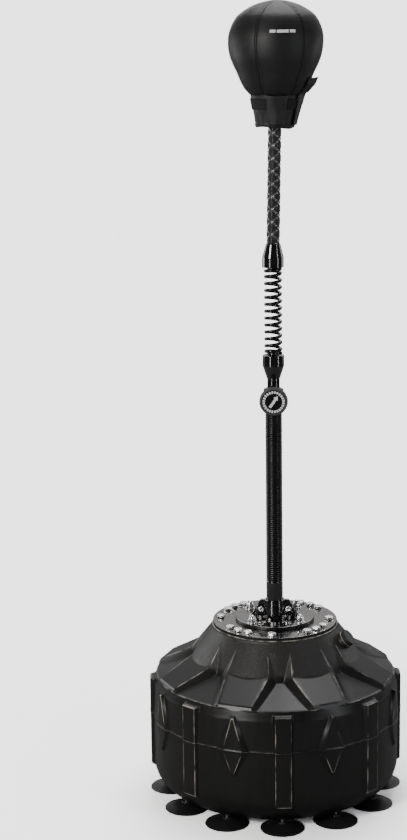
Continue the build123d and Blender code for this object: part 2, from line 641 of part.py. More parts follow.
# ---- build --------------------------------------------------------------------------------
def main():
    os.makedirs("parts", exist_ok=True)
    upper, lower, seal = make_tank()
    save(upper, "tank_upper")
    save(lower, "tank_lower")
    save(seal, "waist_seal")
    cap, cap_seal = make_filler()
    save(cap, "filler_cap")
    save(cap_seal, "filler_seal")
    for i, spot in enumerate(cup_places()):
        save(spot * make_cup(), f"suction_cup_{i + 1:02d}")
    save(make_cup_studs(), "cup_studs")
    gasket, plate, flange = make_plates()
    save(gasket, "plate_gasket")
    save(plate, "mounting_plate")
    save(flange, "flange_plate")
    save(make_plate_bolts(), "plate_bolts")
    save(make_inserts(), "threaded_inserts")
    studs, washers, nuts = make_flange_studs()
    save(studs, "flange_studs")
    save(washers, "flange_washers")
    save(nuts, "cap_nuts")
    front_half = make_socket_half()
    save(front_half, "socket_front")
    save(Rot(0, 0, 180) * front_half, "socket_rear")
    bolts, clamp_nuts = make_clamp_bolts()
    save(bolts, "clamp_bolts")
    save(clamp_nuts, "clamp_nuts")
    save(make_foot_screws(), "foot_screws")
    outer, sleeve, collar, boss = make_pole()
    save(outer, "outer_tube")
    save(sleeve, "ribbed_sleeve")
    save(collar, "guide_collar")
    save(boss, "knob_boss")
    knob, label, screw, shoe = make_knob()
    save(knob, "knob_body")
    save(label, "knob_face")
    save(screw, "clamp_screw")
    save(shoe, "clamp_shoe")
    inner, glide = make_inner_tube()
    save(inner, "inner_tube")
    save(glide, "tube_glide")
    low_collar, low_plug, up_collar, up_plug = make_spring_ends()
    save(low_collar, "lower_collar")
    save(low_plug, "lower_spring_plug")
    save(make_spring(), "main_spring")
    save(up_plug, "upper_spring_plug")
    save(up_collar, "upper_collar")
    core_rod, grip = make_rod()
    save(core_rod, "rod_core")
    save(grip, "lattice_grip")
    cover, bladder, disc, nut = make_ball()
    save(cover, "ball_cover")
    save(bladder, "ball_bladder")
    save(disc, "ball_disc")
    save(nut, "ball_nut")
    skirt, strap, flap = make_neck()
    save(skirt, "neck_skirt")
    save(strap, "neck_strap")
    save(flap, "closure_flap")


if __name__ == "__main__":
    main()
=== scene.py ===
"""The looks of a free-standing reflex punch ball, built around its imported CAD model.

Sizes in this file are in millimetres and meshes are made in metres. The front is -Y, +Z is up,
and an azimuth is counted from the front towards +X.
"""
import logging
import math
from dataclasses import dataclass, field
from enum import Enum
from typing import Callable, Iterable, Sequence

import bmesh
import bpy
import numpy as np
from mathutils import Matrix, Vector


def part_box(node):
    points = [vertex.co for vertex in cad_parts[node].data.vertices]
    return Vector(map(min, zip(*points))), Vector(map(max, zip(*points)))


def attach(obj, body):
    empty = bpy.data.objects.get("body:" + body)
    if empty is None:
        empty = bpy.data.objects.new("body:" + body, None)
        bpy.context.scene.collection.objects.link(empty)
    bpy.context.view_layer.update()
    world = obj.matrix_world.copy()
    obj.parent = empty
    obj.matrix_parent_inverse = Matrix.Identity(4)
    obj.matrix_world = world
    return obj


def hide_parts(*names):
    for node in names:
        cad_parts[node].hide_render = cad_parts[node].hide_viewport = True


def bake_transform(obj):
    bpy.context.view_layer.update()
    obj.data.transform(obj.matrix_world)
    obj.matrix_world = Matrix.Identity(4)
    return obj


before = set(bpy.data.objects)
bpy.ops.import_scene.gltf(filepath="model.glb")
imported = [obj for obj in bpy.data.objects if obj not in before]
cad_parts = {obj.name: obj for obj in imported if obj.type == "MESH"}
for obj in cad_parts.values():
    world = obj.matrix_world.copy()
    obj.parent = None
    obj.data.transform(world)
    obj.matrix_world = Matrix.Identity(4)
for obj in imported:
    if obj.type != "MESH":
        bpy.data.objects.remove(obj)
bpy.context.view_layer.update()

MM = 0.001
log = logging.getLogger("punch_ball")

Point = tuple[float, float]
Rows = list[Point]


class Body(Enum):
    """The bodies that pieces ride on."""

    BASE = "base"
    CAP = "filler_cap"
    KNOB = "clamp_knob"
    POLE = "inner_pole"
    SPRING = "spring"
    HEAD = "head"


# ---- node graphs ----------------------------------------------------------------------------
class Value:
    """An output socket that takes part in arithmetic."""

    def __init__(self, graph: "Graph", socket: bpy.types.NodeSocket) -> None:
        """Keep the socket and the graph that it belongs to."""
        self.graph = graph
        self.socket = socket

    def _math(self, operation: str, *operands: "Value | float") -> "Value":
        """Add one Math node.

        Args:
            operation: the Math node's operation.
            operands: its inputs, in order.

        Returns:
            The node's output.
        """
        return self.graph.add("ShaderNodeMath", {"operation": operation}, dict(enumerate(operands)))

    def __add__(self, other: "Value | float") -> "Value":
        """self + other."""
        return self._math("ADD", self, other)

    def __radd__(self, other: float) -> "Value":
        """other + self."""
        return self._math("ADD", other, self)

    def __sub__(self, other: "Value | float") -> "Value":
        """self - other."""
        return self._math("SUBTRACT", self, other)

    def __rsub__(self, other: float) -> "Value":
        """other - self."""
        return self._math("SUBTRACT", other, self)

    def __mul__(self, other: "Value | float") -> "Value":
        """self * other."""
        return self._math("MULTIPLY", self, other)

    def __rmul__(self, other: float) -> "Value":
        """other * self."""
        return self._math("MULTIPLY", other, self)

    def __truediv__(self, other: "Value | float") -> "Value":
        """self / other."""
        return self._math("DIVIDE", self, other)

    def apply(self, operation: str, *others: "Value | float") -> "Value":
        """Any other Math operation on this value."""
        return self._math(operation, self, *others)

    def ramp(self, low: float, high: float) -> "Value":
        """A smooth step from 0 at low to 1 at high."""
        return self.graph.add(
            "ShaderNodeMapRange", {"interpolation_type": "SMOOTHSTEP"},
            {"Value": self, "From Min": low, "From Max": high},
        )

    def colour(self, dark: Sequence[float], light: Sequence[float]) -> "Value":
        """A colour between dark, at 0, and light, at 1."""
        return self.graph.add(
            "ShaderNodeMix", {"data_type": "RGBA"}, {0: self, 6: (*dark, 1), 7: (*light, 1)}, out=2,
        )


class Graph:
    """Adds nodes to one node tree, of a material or of geometry."""

    def __init__(self, tree: bpy.types.NodeTree) -> None:
        """Keep the tree."""
        self.tree = tree

    def add(self, kind: str, settings: dict | None = None, inputs: dict | None = None, out: int | str = 0) -> Value:
        """Add one node.

        Args:
            kind: the node's type.
            settings: its properties, which are set before the inputs.
            inputs: values or links, by socket name or number.
            out: the output wanted.

        Returns:
            The output, as a value.
        """
        node = self.tree.nodes.new(kind)
        for name, setting in (settings or {}).items():
            setattr(node, name, setting)
        for name, value in (inputs or {}).items():
            if isinstance(value, Value):
                self.tree.links.new(value.socket, node.inputs[name])
            else:
                node.inputs[name].default_value = value
        return Value(self, node.outputs[out])

    def other(self, value: Value, out: int | str) -> Value:
        """Another output of the node that a value comes from."""
        return Value(self, value.socket.node.outputs[out])

    def xyz(self, stretch: Sequence[float] = (1, 1, 1)) -> Value:
        """Object coordinates, stretched."""
        place = self.add("ShaderNodeTexCoord", out="Object")
        return self.add("ShaderNodeMapping", {}, {"Vector": place, "Scale": stretch})

    def noise(self, where: Value, scale: float, detail: float = 3.0, rough: float = 0.55) -> Value:
        """Noise from 0 to 1 at a number of features a metre."""
        return self.add(
            "ShaderNodeTexNoise", {}, {"Vector": where, "Scale": scale, "Detail": detail, "Roughness": rough},
        )

    def cells(self, where: Value, scale: float, feature: str = "F1") -> Value:
        """The distance field of scattered cells."""
        return self.add(
            "ShaderNodeTexVoronoi", {"feature": feature}, {"Vector": where, "Scale": scale}, out="Distance",
        )

    def attribute(self, name: str) -> Value:
        """A number stored on the mesh."""
        return self.add("ShaderNodeAttribute", {"attribute_name": name}, out="Fac")


# ---- finishes -------------------------------------------------------------------------------
@dataclass(frozen=True)
class Finish:
    """A surface finish. A subclass says what varies over the surface."""

    name: str
    tint: tuple[float, float, float]
    metallic: float = 0.0
    roughness: float = 0.5
    coat: float = 0.0

    def vary(self, graph: Graph) -> dict[str, Value]:
        """The sockets of the shader that vary, by name."""
        where = graph.xyz()
        patches = graph.noise(where, 40)
        lighter = [min(1.0, c * 1.25 + 0.004) for c in self.tint]
        return {
            "Base Color": patches.colour(self.tint, lighter),
            "Roughness": patches * 0.12 + (self.roughness - 0.06),
            "Normal": self.bump(graph, graph.noise(where, 900, 2), 0.06, 0.0002),
        }

    @staticmethod
    def bump(graph: Graph, height: Value, strength: float, distance: float) -> Value:
        """A normal from a height."""
        return graph.add("ShaderNodeBump", {}, {"Height": height, "Strength": strength, "Distance": distance})

    def material(self) -> bpy.types.Material:
        """The material, made once."""
        name = "look_" + self.name
        made = bpy.data.materials.get(name)
        if made:
            return made
        made = bpy.data.materials.new(name)
        made.use_nodes = True
        graph = Graph(made.node_tree)
        shader = made.node_tree.nodes["Principled BSDF"]
        shader.inputs["Base Color"].default_value = (*self.tint, 1)
        shader.inputs["Metallic"].default_value = self.metallic
        shader.inputs["Roughness"].default_value = self.roughness
        shader.inputs["Coat Weight"].default_value = self.coat
        shader.inputs["Coat Roughness"].default_value = 0.08
        for socket, value in self.vary(graph).items():
            made.node_tree.links.new(value.socket, shader.inputs[socket])
        return made


@dataclass(frozen=True)
class MouldedTank(Finish):
    """Blow-moulded plastic: grained on the cone, smooth elsewhere, with scuffs and painted edge highlights along its
    edges.
    """

    grain_from: float = 0.298
    # light tint on convex edges: partly real scuffing, partly painted edge highlight
    scuff_and_edge_highlight: tuple[float, float, float] = (0.55, 0.50, 0.44)

    def vary(self, graph: Graph) -> dict[str, Value]:
        """Tone, gloss and grain."""
        where = graph.xyz()
        height = graph.add("ShaderNodeSeparateXYZ", {}, {0: where}, out="Z")
        cone = height.ramp(self.grain_from, self.grain_from + 0.008)
        patches = graph.noise(where, 9, 5)
        streaks = graph.noise(graph.xyz((1, 1, 0.12)), 120, 4)
        pebbles = graph.cells(where, 520).ramp(0.05, 0.75)
        fine = graph.noise(where, 1500, 2)
        # painted highlight: the light colour on convex edges (the stored wear number) is partly real scuffs and partly
        # edge highlights painted into the colour
        edge = (graph.attribute("wear") * graph.noise(where, 22, 5).ramp(0.30, 0.68)).ramp(0.03, 0.16)
        tone = (patches * 0.6 + streaks * 0.4).ramp(0.3, 0.7)
        base = tone.colour(self.tint, [c * 2.1 for c in self.tint])
        speck = pebbles * cone * 0.35
        base = graph.add("ShaderNodeMix", {"data_type": "RGBA"}, {0: speck, 6: base, 7: (0.06, 0.056, 0.052, 1)}, out=2)
        base = graph.add("ShaderNodeMix", {"data_type": "RGBA"}, {0: edge * 0.75, 6: base, 7: (*self.scuff_and_edge_highlight, 1)}, out=2)
        grain = (1 - pebbles) * cone * 0.9 + fine * 0.12 + streaks * 0.10
        return {
            "Base Color": base,
            "Roughness": self.roughness + streaks * 0.10 + cone * 0.06 - edge * 0.10,
            "Normal": self.bump(graph, grain, 0.55, 0.0005),
        }


@dataclass(frozen=True)
class BrushedPlate(Finish):
    """Polished steel with faint rings of wear and haze."""

    def vary(self, graph: Graph) -> dict[str, Value]:
        """Haze and scratches."""
        where = graph.xyz()
        haze = graph.noise(where, 14, 4)
        scratches = graph.noise(graph.xyz((1, 0.05, 1)), 300, 3)
        return {
            "Base Color": haze.colour([c * 0.9 for c in self.tint], self.tint),
            "Roughness": self.roughness + haze * 0.08 + scratches * 0.06,
            "Normal": self.bump(graph, scratches, 0.02, 0.0001),
        }


@dataclass(frozen=True)
class LatticeRubber(Finish):
    """Grip rubber: matt knurled pads between gloss channels, whose lighter grey is a painted highlight."""

    # painted highlight: this grey stands for the channels' glints on rubber as black as the pads
    channel: tuple[float, float, float] = (0.10, 0.10, 0.098)

    def vary(self, graph: Graph) -> dict[str, Value]:
        """Pads and channels, told apart by the stored height of the pads; the channels get a painted highlight colour.
        """
        where = graph.xyz()
        pad = graph.attribute("pad").ramp(0.25, 0.75)
        knurl = graph.cells(where, 1100).ramp(0.1, 0.7)
        patches = graph.noise(where, 60)
        tone = patches.colour([c * 0.6 for c in self.tint], [c * 1.3 for c in self.tint])
        # painted highlight: the channels take the lighter grey
        gloss = graph.add("ShaderNodeMix", {"data_type": "RGBA"}, {0: pad, 6: (*self.channel, 1), 7: tone}, out=2)
        return {
            "Base Color": gloss,
            "Roughness": pad * 0.5 + 0.12,
            "Normal": self.bump(graph, (1 - knurl) * pad, 0.5, 0.0004),
        }


@dataclass(frozen=True)
class Leatherette(Finish):
    """Coated cloth with a fine pebble grain and soft creases."""

    grain: float = 0.45

    def vary(self, graph: Graph) -> dict[str, Value]:
        """Tone from the stored tone, which carries painted light where it is raised at the front, gloss and grain."""
        where = graph.xyz()
        tone = graph.attribute("tone") + graph.noise(where, 25, 4) * 0.35
        pebbles = graph.cells(where, 850).ramp(0.05, 0.7)
        creases = graph.noise(graph.xyz((1, 1, 0.4)), 85, 5, 0.65)
        height = (1 - pebbles) * 0.5 + creases * 0.8
        return {
            "Base Color": tone.ramp(0.0, 1.4).colour(self.tint, [c * 3.0 + 0.004 for c in self.tint]),
            "Roughness": self.roughness + creases * 0.16 - pebbles * 0.06,
            "Normal": self.bump(graph, height, self.grain, 0.0006),
        }


@dataclass(frozen=True)
class Tape(Finish):
    """Hook-and-loop tape: a dull, fuzzy pile."""

    def vary(self, graph: Graph) -> dict[str, Value]:
        """A short pile."""
        where = graph.xyz()
        pile = graph.noise(where, 1800, 4, 0.7)
        return {
            "Base Color": pile.colour(self.tint, [c * 2.5 + 0.01 for c in self.tint]),
            "Roughness": self.roughness + pile * 0.15,
            "Normal": self.bump(graph, pile, 0.9, 0.0008),
        }


@dataclass(frozen=True)
class Enamel(Finish):
    """Gloss enamel with a faint orange peel."""

    def vary(self, graph: Graph) -> dict[str, Value]:
        """Peel and dust."""
        where = graph.xyz()
        peel = graph.noise(where, 260, 2)
        dust = graph.noise(where, 35, 5)
        return {
            "Base Color": dust.ramp(0.5, 0.9).colour(self.tint, [c + 0.012 for c in self.tint]),
            "Roughness": self.roughness + dust * 0.08,
            "Normal": self.bump(graph, peel, 0.05, 0.0003),
        }


TANK = MouldedTank("moulded_tank", (0.0045, 0.0042, 0.0040), roughness=0.30)
CUP_RUBBER = Finish("cup_rubber", (0.010, 0.010, 0.010), roughness=0.34)
SEAL_RUBBER = Finish("seal_rubber", (0.008, 0.008, 0.008), roughness=0.6)
CAP_PLASTIC = Finish("cap_plastic", (0.012, 0.012, 0.012), roughness=0.4)
BLACK_EDGE = Enamel("black_edge", (0.004, 0.004, 0.004), roughness=0.35)
PLATE = BrushedPlate("polished_plate", (0.42, 0.40, 0.395), metallic=1.0, roughness=0.07)
CHROME = Finish("bolt_chrome", (0.97, 0.97, 0.97), metallic=1.0, roughness=0.26)
ZINC = Finish("zinc_steel", (0.5, 0.5, 0.5), metallic=1.0, roughness=0.35)
ENAMEL = Enamel("gloss_enamel", (0.004, 0.004, 0.0045), roughness=0.10, coat=1.0)
SPRING_BLACK = Enamel("spring_black", (0.004, 0.004, 0.0045), roughness=0.24)
RIBBED = Finish("ribbed_plastic", (0.004, 0.004, 0.004), roughness=0.30)
KNOB_GREY = Finish("knob_grey", (0.050, 0.050, 0.056), roughness=0.5)
DIAL_BLACK = Enamel("dial_black", (0.006, 0.006, 0.006), roughness=0.2)
INK = Finish("marking_ink", (0.82, 0.82, 0.82), roughness=0.5)
GRIP = LatticeRubber("grip_rubber", (0.004, 0.004, 0.0042), coat=0.3)
LEATHER = Leatherette("ball_leatherette", (0.0026, 0.0026, 0.0028), roughness=0.46)
THREAD = Finish("sewing_thread", (0.006, 0.006, 0.006), roughness=0.6)
TAPE = Tape("hook_tape", (0.003, 0.003, 0.003), roughness=0.8)
BLADDER = Finish("bladder_rubber", (0.05, 0.04, 0.035), roughness=0.5)


# ---- mesh tools -----------------------------------------------------------------------------
def ease(x: np.ndarray | float, low: float, high: float) -> np.ndarray | float:
    """A smooth step from 0 at low to 1 at high."""
    t = np.clip((np.asarray(x, float) - low) / (high - low), 0, 1)
    return t * t * (3 - 2 * t)


def rounded(points: Sequence[Point], radius: float = 1.0, steps: int = 3) -> Rows:
    """Round the corners of an open outline, with a support point beyond each rounding.

    Args:
        points: radius and height, in order.
        radius: how far from a corner its rounding starts, at most.
        steps: points on a rounding beyond its first.

    Returns:
        The outline's points.
    """
    rows: Rows = [points[0]]
    for before, here, after in zip(points, points[1:], points[2:]):
        a, p, b = (np.array(q, float) for q in (before, here, after))
        reach_in = min(radius, 0.42 * np.linalg.norm(p - a))
        reach_out = min(radius, 0.42 * np.linalg.norm(b - p))
        u = (a - p) / np.linalg.norm(a - p)
        v = (b - p) / np.linalg.norm(b - p)
        start, end = p + u * reach_in, p + v * reach_out
        rows.append(tuple(start + u * reach_in * 0.18))
        for i in range(steps + 1):
            t = i / steps
            rows.append(tuple((1 - t) ** 2 * start + 2 * t * (1 - t) * p + t * t * end))
        rows.append(tuple(end + v * reach_out * 0.18))
    rows.append(points[-1])
    return rows


def mesh_object(name: str, points: np.ndarray, faces: Iterable[Sequence[int]], closed: bool = True) -> bpy.types.Object:
    """A mesh object from points in millimetres, smooth, with its faces outwards if it is closed.

    Args:
        name: the object's name.
        points: an array of points, in millimetres.
        faces: point numbers of each face.
        closed: whether the surface is closed, so that its volume says which way its faces point.

    Returns:
        The object, at the origin.
    """
    mesh = bpy.data.meshes.new(name)
    mesh.from_pydata((np.asarray(points, float) * MM).tolist(), [], [list(f) for f in faces])
    mesh.validate()
    work = bmesh.new()
    work.from_mesh(mesh)
    bmesh.ops.remove_doubles(work, verts=work.verts, dist=1e-6)
    if closed and work.calc_volume(signed=True) < 0:
        bmesh.ops.reverse_faces(work, faces=work.faces)
    for face in work.faces:
        face.smooth = True
    work.to_mesh(mesh)
    work.free()
    made = bpy.data.objects.new(name, mesh)
    bpy.context.scene.collection.objects.link(made)
    return made


def grid_faces(rows: int, columns: int, wrap: bool, first: int = 0) -> list[tuple[int, ...]]:
    """Quads between rows of points, wrapped round to the first column if asked."""
    last = columns if wrap else columns - 1
    return [
        (first + r * columns + c, first + r * columns + (c + 1) % columns,
         first + (r + 1) * columns + (c + 1) % columns, first + (r + 1) * columns + c)
        for r in range(rows - 1) for c in range(last)
    ]


def lathe(name: str, outline: Sequence[Point], steps: int = 64, flute: Callable[[np.ndarray], np.ndarray] | None = None,
          fluted: Sequence[float] | None = None, loop: bool = False) -> bpy.types.Object:
    """A turned piece about Z.

    Args:
        name: the object's name.
        outline: radius and height of each row.
        steps: columns around.
        flute: how much the radius grows at an angle, for knurls and lobes.
        fluted: how much of the flute each row takes.
        loop: whether the outline closes on itself, as a ring's does.

    Returns:
        The object.
    """
    turn = np.linspace(0, 2 * math.pi, steps, endpoint=False)
    wave = flute(turn) if flute else np.zeros(steps)
    shares = fluted if fluted is not None else [0.0] * len(outline)
    rings = []
    for (radius, height), share in zip(outline, shares):
        r = np.full(steps, float(radius)) + wave * share
        if radius <= 1e-9:
            r[:] = 0
        rings.append(np.stack([r * np.sin(turn), -r * np.cos(turn), np.full(steps, float(height))], 1))
    if loop:
        rings.append(rings[0])
    return mesh_object(name, np.concatenate(rings), grid_faces(len(rings), steps, True))


def store(piece: bpy.types.Object, name: str, values: np.ndarray) -> None:
    """Store one number for each vertex."""
    layer = piece.data.attributes.new(name, "FLOAT", "POINT")
    layer.data.foreach_set("value", np.asarray(values, np.float32))


def store_edge_wear_and_highlight(piece: bpy.types.Object) -> None:
    """Store how far each vertex stands out from its neighbours, for scuffed edges and painted edge highlights."""
    mesh = piece.data
    count = len(mesh.vertices)
    place = np.empty(count * 3)
    mesh.vertices.foreach_get("co", place)
    place = place.reshape(-1, 3)
    normal = np.array([v.normal[:] for v in mesh.vertices])
    pair = np.empty(len(mesh.edges) * 2, int)
    mesh.edges.foreach_get("vertices", pair)
    pair = pair.reshape(-1, 2)
    out, weight = np.zeros(count), np.zeros(count)
    for a, b in (pair.T, pair.T[::-1]):
        step = place[b] - place[a]
        length = np.linalg.norm(step, axis=1) + 1e-9
        near = np.exp(-length / (3 * MM)) + 0.02
        np.add.at(out, a, -np.einsum("ij,ij->i", step, normal[a]) / length * near)
        np.add.at(weight, a, near)
    # the stored wear number places both real scuffs and painted edge highlights
    store(piece, "wear", np.clip(out / weight, 0, 1))


def turned(piece: bpy.types.Object, matrix: Matrix) -> bpy.types.Object:
    """Apply a placing, in millimetres, to a piece's own mesh."""
    scaled = matrix.copy()
    scaled.translation = scaled.translation * MM
    piece.data.transform(scaled)
    return piece


def along_y(x: float, z: float, y: float) -> Matrix:
    """A placing that lays a piece's +Z along -Y, from a point."""
    return Matrix.Translation((x, y, z)) @ Matrix.Rotation(math.radians(90), 4, "X")


def joined(name: str, pieces: Sequence[bpy.types.Object]) -> bpy.types.Object:
    """Several meshes as one object."""
    work = bmesh.new()
    for piece in pieces:
        work.from_mesh(piece.data)
        bpy.data.objects.remove(piece)
    mesh = bpy.data.meshes.new(name)
    work.to_mesh(mesh)
    work.free()
    made = bpy.data.objects.new(name, mesh)
    bpy.context.scene.collection.objects.link(made)
    return made


def polar(radius: float, azimuth: float, height: float = 0.0) -> tuple[float, float, float]:
    """A point from a radius, an azimuth in degrees and a height."""
    a = math.radians(azimuth)
    return (radius * math.sin(a), -radius * math.cos(a), height)


def limits(node: str) -> tuple[Vector, Vector]:
    """A CAD node's corners, in millimetres."""
    low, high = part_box(node)
    return low / MM, high / MM


# ---- geometry node trees --------------------------------------------------------------------
class Tree:
    """A geometry node tree with named inputs."""

    SOCKETS = {"Count": "NodeSocketInt", "Seed": "NodeSocketInt", "Material": "NodeSocketMaterial",
               "Instance": "NodeSocketObject"}

    def __init__(self, name: str, inputs: Sequence[str]) -> None:
        """Make the tree and its sockets.

        Args:
            name: the tree's name.
            inputs: the names of its inputs besides its geometry; those not in SOCKETS are numbers.
        """
        self.tree = bpy.data.node_groups.new(name, "GeometryNodeTree")
        face = self.tree.interface
        face.new_socket("Geometry", in_out="OUTPUT", socket_type="NodeSocketGeometry")
        face.new_socket("Geometry", in_out="INPUT", socket_type="NodeSocketGeometry")
        for entry in inputs:
            face.new_socket(entry, in_out="INPUT", socket_type=self.SOCKETS.get(entry, "NodeSocketFloat"))
        self.graph = Graph(self.tree)
        self.given = self.graph.add("NodeGroupInput")

    def input(self, name: str) -> Value:
        """A named input."""
        return self.graph.other(self.given, name)

    def add(self, kind: str, settings: dict | None = None, inputs: dict | None = None, out: int | str = 0) -> Value:
        """Add one node."""
        return self.graph.add("GeometryNode" + kind, settings, inputs, out)

    def end(self, instances: Value, merge: float = 0.0) -> "Tree":
        """Finish with Realize Instances, an optional merge, and Set Material."""
        real = self.add("RealizeInstances", {}, {0: instances})
        if merge:
            real = self.add("MergeByDistance", {}, {"Geometry": real, "Distance": merge})
        done = self.add("SetMaterial", {}, {"Geometry": real, "Material": self.input("Material")})
        node = self.tree.nodes.new("NodeGroupOutput")
        self.tree.links.new(done.socket, node.inputs[0])
        return self

    def run(self, name: str, source: bpy.types.Object, **values: object) -> bpy.types.Object:
        """Run the tree on an object, which is used up.

        Args:
            name: the new object's name.
            source: the object whose geometry the tree is given.
            values: the tree's inputs, with a space in a name written as an underscore.

        Returns:
            A plain mesh object.
        """
        modifier = source.modifiers.new(name, "NODES")
        modifier.node_group = self.tree
        keys = {s.name: s.identifier for s in self.tree.interface.items_tree if s.in_out == "INPUT"}
        for entry, value in values.items():
            modifier[keys[entry.replace("_", " ")]] = value
        graph = bpy.context.evaluated_depsgraph_get()
        mesh = bpy.data.meshes.new_from_object(source.evaluated_get(graph))
        source.modifiers.remove(modifier)
        bpy.data.objects.remove(source)
        made = bpy.data.objects.new(name, mesh)
        mesh.name = name
        bpy.context.scene.collection.objects.link(made)
        return made


def around_tree() -> Tree:
    """Repeats a piece around Z."""
    tree = Tree("around_z", ["Count", "Start", "Merge", "Material"])
    index = tree.add("InputIndex")
    points = tree.add("Points", {}, {"Count": tree.input("Count")})
    turn = index * (2 * math.pi) / tree.input("Count") + tree.input("Start")
    spin = tree.graph.add("ShaderNodeCombineXYZ", {}, {"Z": turn})
    spin = tree.graph.add("FunctionNodeEulerToRotation", {}, {0: spin})
    copies = tree.add("InstanceOnPoints", {}, {"Points": points, "Instance": tree.input("Geometry"), "Rotation": spin})
    return tree.end(copies, 2e-5)


def stack_tree() -> Tree:
    """Repeats a piece up Z."""
    tree = Tree("up_z", ["Count", "Pitch", "Start", "Material"])
    height = tree.add("InputIndex") * tree.input("Pitch") + tree.input("Start")
    place = tree.graph.add("ShaderNodeCombineXYZ", {}, {"Z": height})
    points = tree.add("Points", {}, {"Count": tree.input("Count"), "Position": place})
    copies = tree.add("InstanceOnPoints", {}, {"Points": points, "Instance": tree.input("Geometry")})
    return tree.end(copies)


def scatter_tree() -> Tree:
    """Puts a fastener at each given point, turned at random about its axis."""
    tree = Tree("fasteners", ["Instance", "Twist", "Seed", "Material"])
    points = tree.add("MeshToPoints", {}, {"Mesh": tree.input("Geometry")})
    part = tree.add("ObjectInfo", {"transform_space": "ORIGINAL"}, {"Object": tree.input("Instance")}, out="Geometry")
    twist = tree.graph.add(
        "FunctionNodeRandomValue", {"data_type": "FLOAT"},
        {"Min": 0.0, "Max": tree.input("Twist"), "Seed": tree.input("Seed")}, out=1,
    )
    spin = tree.graph.add("FunctionNodeEulerToRotation", {}, {0: tree.graph.add("ShaderNodeCombineXYZ", {}, {"Z": twist})})
    copies = tree.add("InstanceOnPoints", {}, {"Points": points, "Instance": part, "Rotation": spin})
    return tree.end(copies)


def coil_tree() -> Tree:
    """A wire wound round Z, from one turn to another, with its end coils drawn in."""
    tree = Tree("coil", ["Turns", "Height", "Radius", "Wire", "Start", "From", "To", "Count", "Material"])
    graph = tree.graph
    line = tree.add("MeshLine", {}, {"Count": tree.input("Count"), "Offset": (0, 0, 0.001)})
    share = tree.add("InputIndex") / (tree.input("Count") - 1)
    turns = tree.input("From") + share * (tree.input("To") - tree.input("From"))
    angle = turns * (2 * math.pi)
    tight = 0.62
    free = (tree.input("Turns") - 2 * (1 - tight))
    ends = turns.apply("MINIMUM", 1.0) * (tight - 1) + (turns - tree.input("Turns") + 1).apply("MAXIMUM", 0.0) * (tight - 1)
    height = (turns + ends) / free * tree.input("Height") + tree.input("Start")
    place = graph.add("ShaderNodeCombineXYZ", {}, {
        "X": angle.apply("COSINE") * tree.input("Radius"), "Y": angle.apply("SINE") * tree.input("Radius"), "Z": height,
    })
    path = tree.add("MeshToCurve", {}, {"Mesh": tree.add("SetPosition", {}, {"Geometry": line, "Position": place})})
    section = tree.add("CurvePrimitiveCircle", {"mode": "RADIUS"}, {"Resolution": 18, "Radius": tree.input("Wire")})
    wire = tree.add("CurveToMesh", {}, {"Curve": path, "Profile Curve": section, "Fill Caps": True})
    wire = tree.add("SetShadeSmooth", {}, {"Geometry": wire})
    return tree.end(wire)


def stitch_tree() -> Tree:
    """Lays stitches along a line of points."""
    tree = Tree("stitches", ["Instance", "Spacing", "Material"])
    path = tree.add("MeshToCurve", {}, {"Mesh": tree.input("Geometry")})
    spots = tree.add("CurveToPoints", {"mode": "LENGTH"}, {"Curve": path, "Length": tree.input("Spacing")})
    along = tree.graph.other(spots, "Rotation")
    part = tree.add("ObjectInfo", {"transform_space": "ORIGINAL"}, {"Object": tree.input("Instance")}, out="Geometry")
    copies = tree.add("InstanceOnPoints", {}, {"Points": spots, "Instance": part, "Rotation": along})
    return tree.end(copies)


# ---- assemblies -----------------------------------------------------------------------------
@dataclass
class Assembly:
    """A group of pieces that are built together."""

    def place(self, piece: bpy.types.Object, body: Body, slot: str, nodes: Sequence[str] = ()) -> bpy.types.Object:
        """Make a piece ride on its body, and stand for its CAD nodes.

        Args:
            piece: the finished piece.
            body: what it moves with.
            slot: not used.
            nodes: the CAD nodes that it stands for.

        Returns:
            The piece.
        """
        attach(piece, body.value)
        return self.record(piece, slot, nodes)

    def record(self, piece: bpy.types.Object, slot: str, nodes: Sequence[str]) -> bpy.types.Object:
        """Hide the CAD nodes that a piece stands for, and log them."""
        if nodes:
            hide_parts(*nodes)
        log.info("%s: %d faces, stands for %s", piece.name, len(piece.data.polygons), ", ".join(nodes) or "nothing")
        return piece

    @staticmethod
    def finish(piece: bpy.types.Object, *finishes: Finish) -> bpy.types.Object:
        """Give a piece its materials."""
        piece.data.materials.clear()
        for finish in finishes:
            piece.data.materials.append(finish.material())
        return piece

    @staticmethod
    def dress(finish: Finish, *nodes: str) -> None:
        """Give CAD nodes that stay a better material."""
        for node in nodes:
            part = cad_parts[node]
            if not part.material_slots:
                part.data.materials.append(finish.material())
            for place in part.material_slots:
                place.material = finish.material()


@dataclass(frozen=True)
class Level:
    """One level of the tank's skin, from the top down.

    pad and floor are radius and height in the middle of a pad and on a channel's floor. The other sizes are
    distances from the channel's middle (rib, floor, pad edges) or from the pad's middle (the diamond's).
    """

    pad: Point
    floor: Point
    rib: Point
    side: Point
    diamond: Point
    crease: float = 0.0
    flat: float = 0.0
    rib_on: float = 0.0
    diamond_on: float = 0.0
    ridge: float = 0.0

    def numbers(self) -> np.ndarray:
        """The level as one row of numbers."""
        return np.array([*self.pad, *self.floor, *self.rib, *self.side, *self.diamond, self.crease, self.flat,
                         self.rib_on, self.diamond_on, self.ridge])


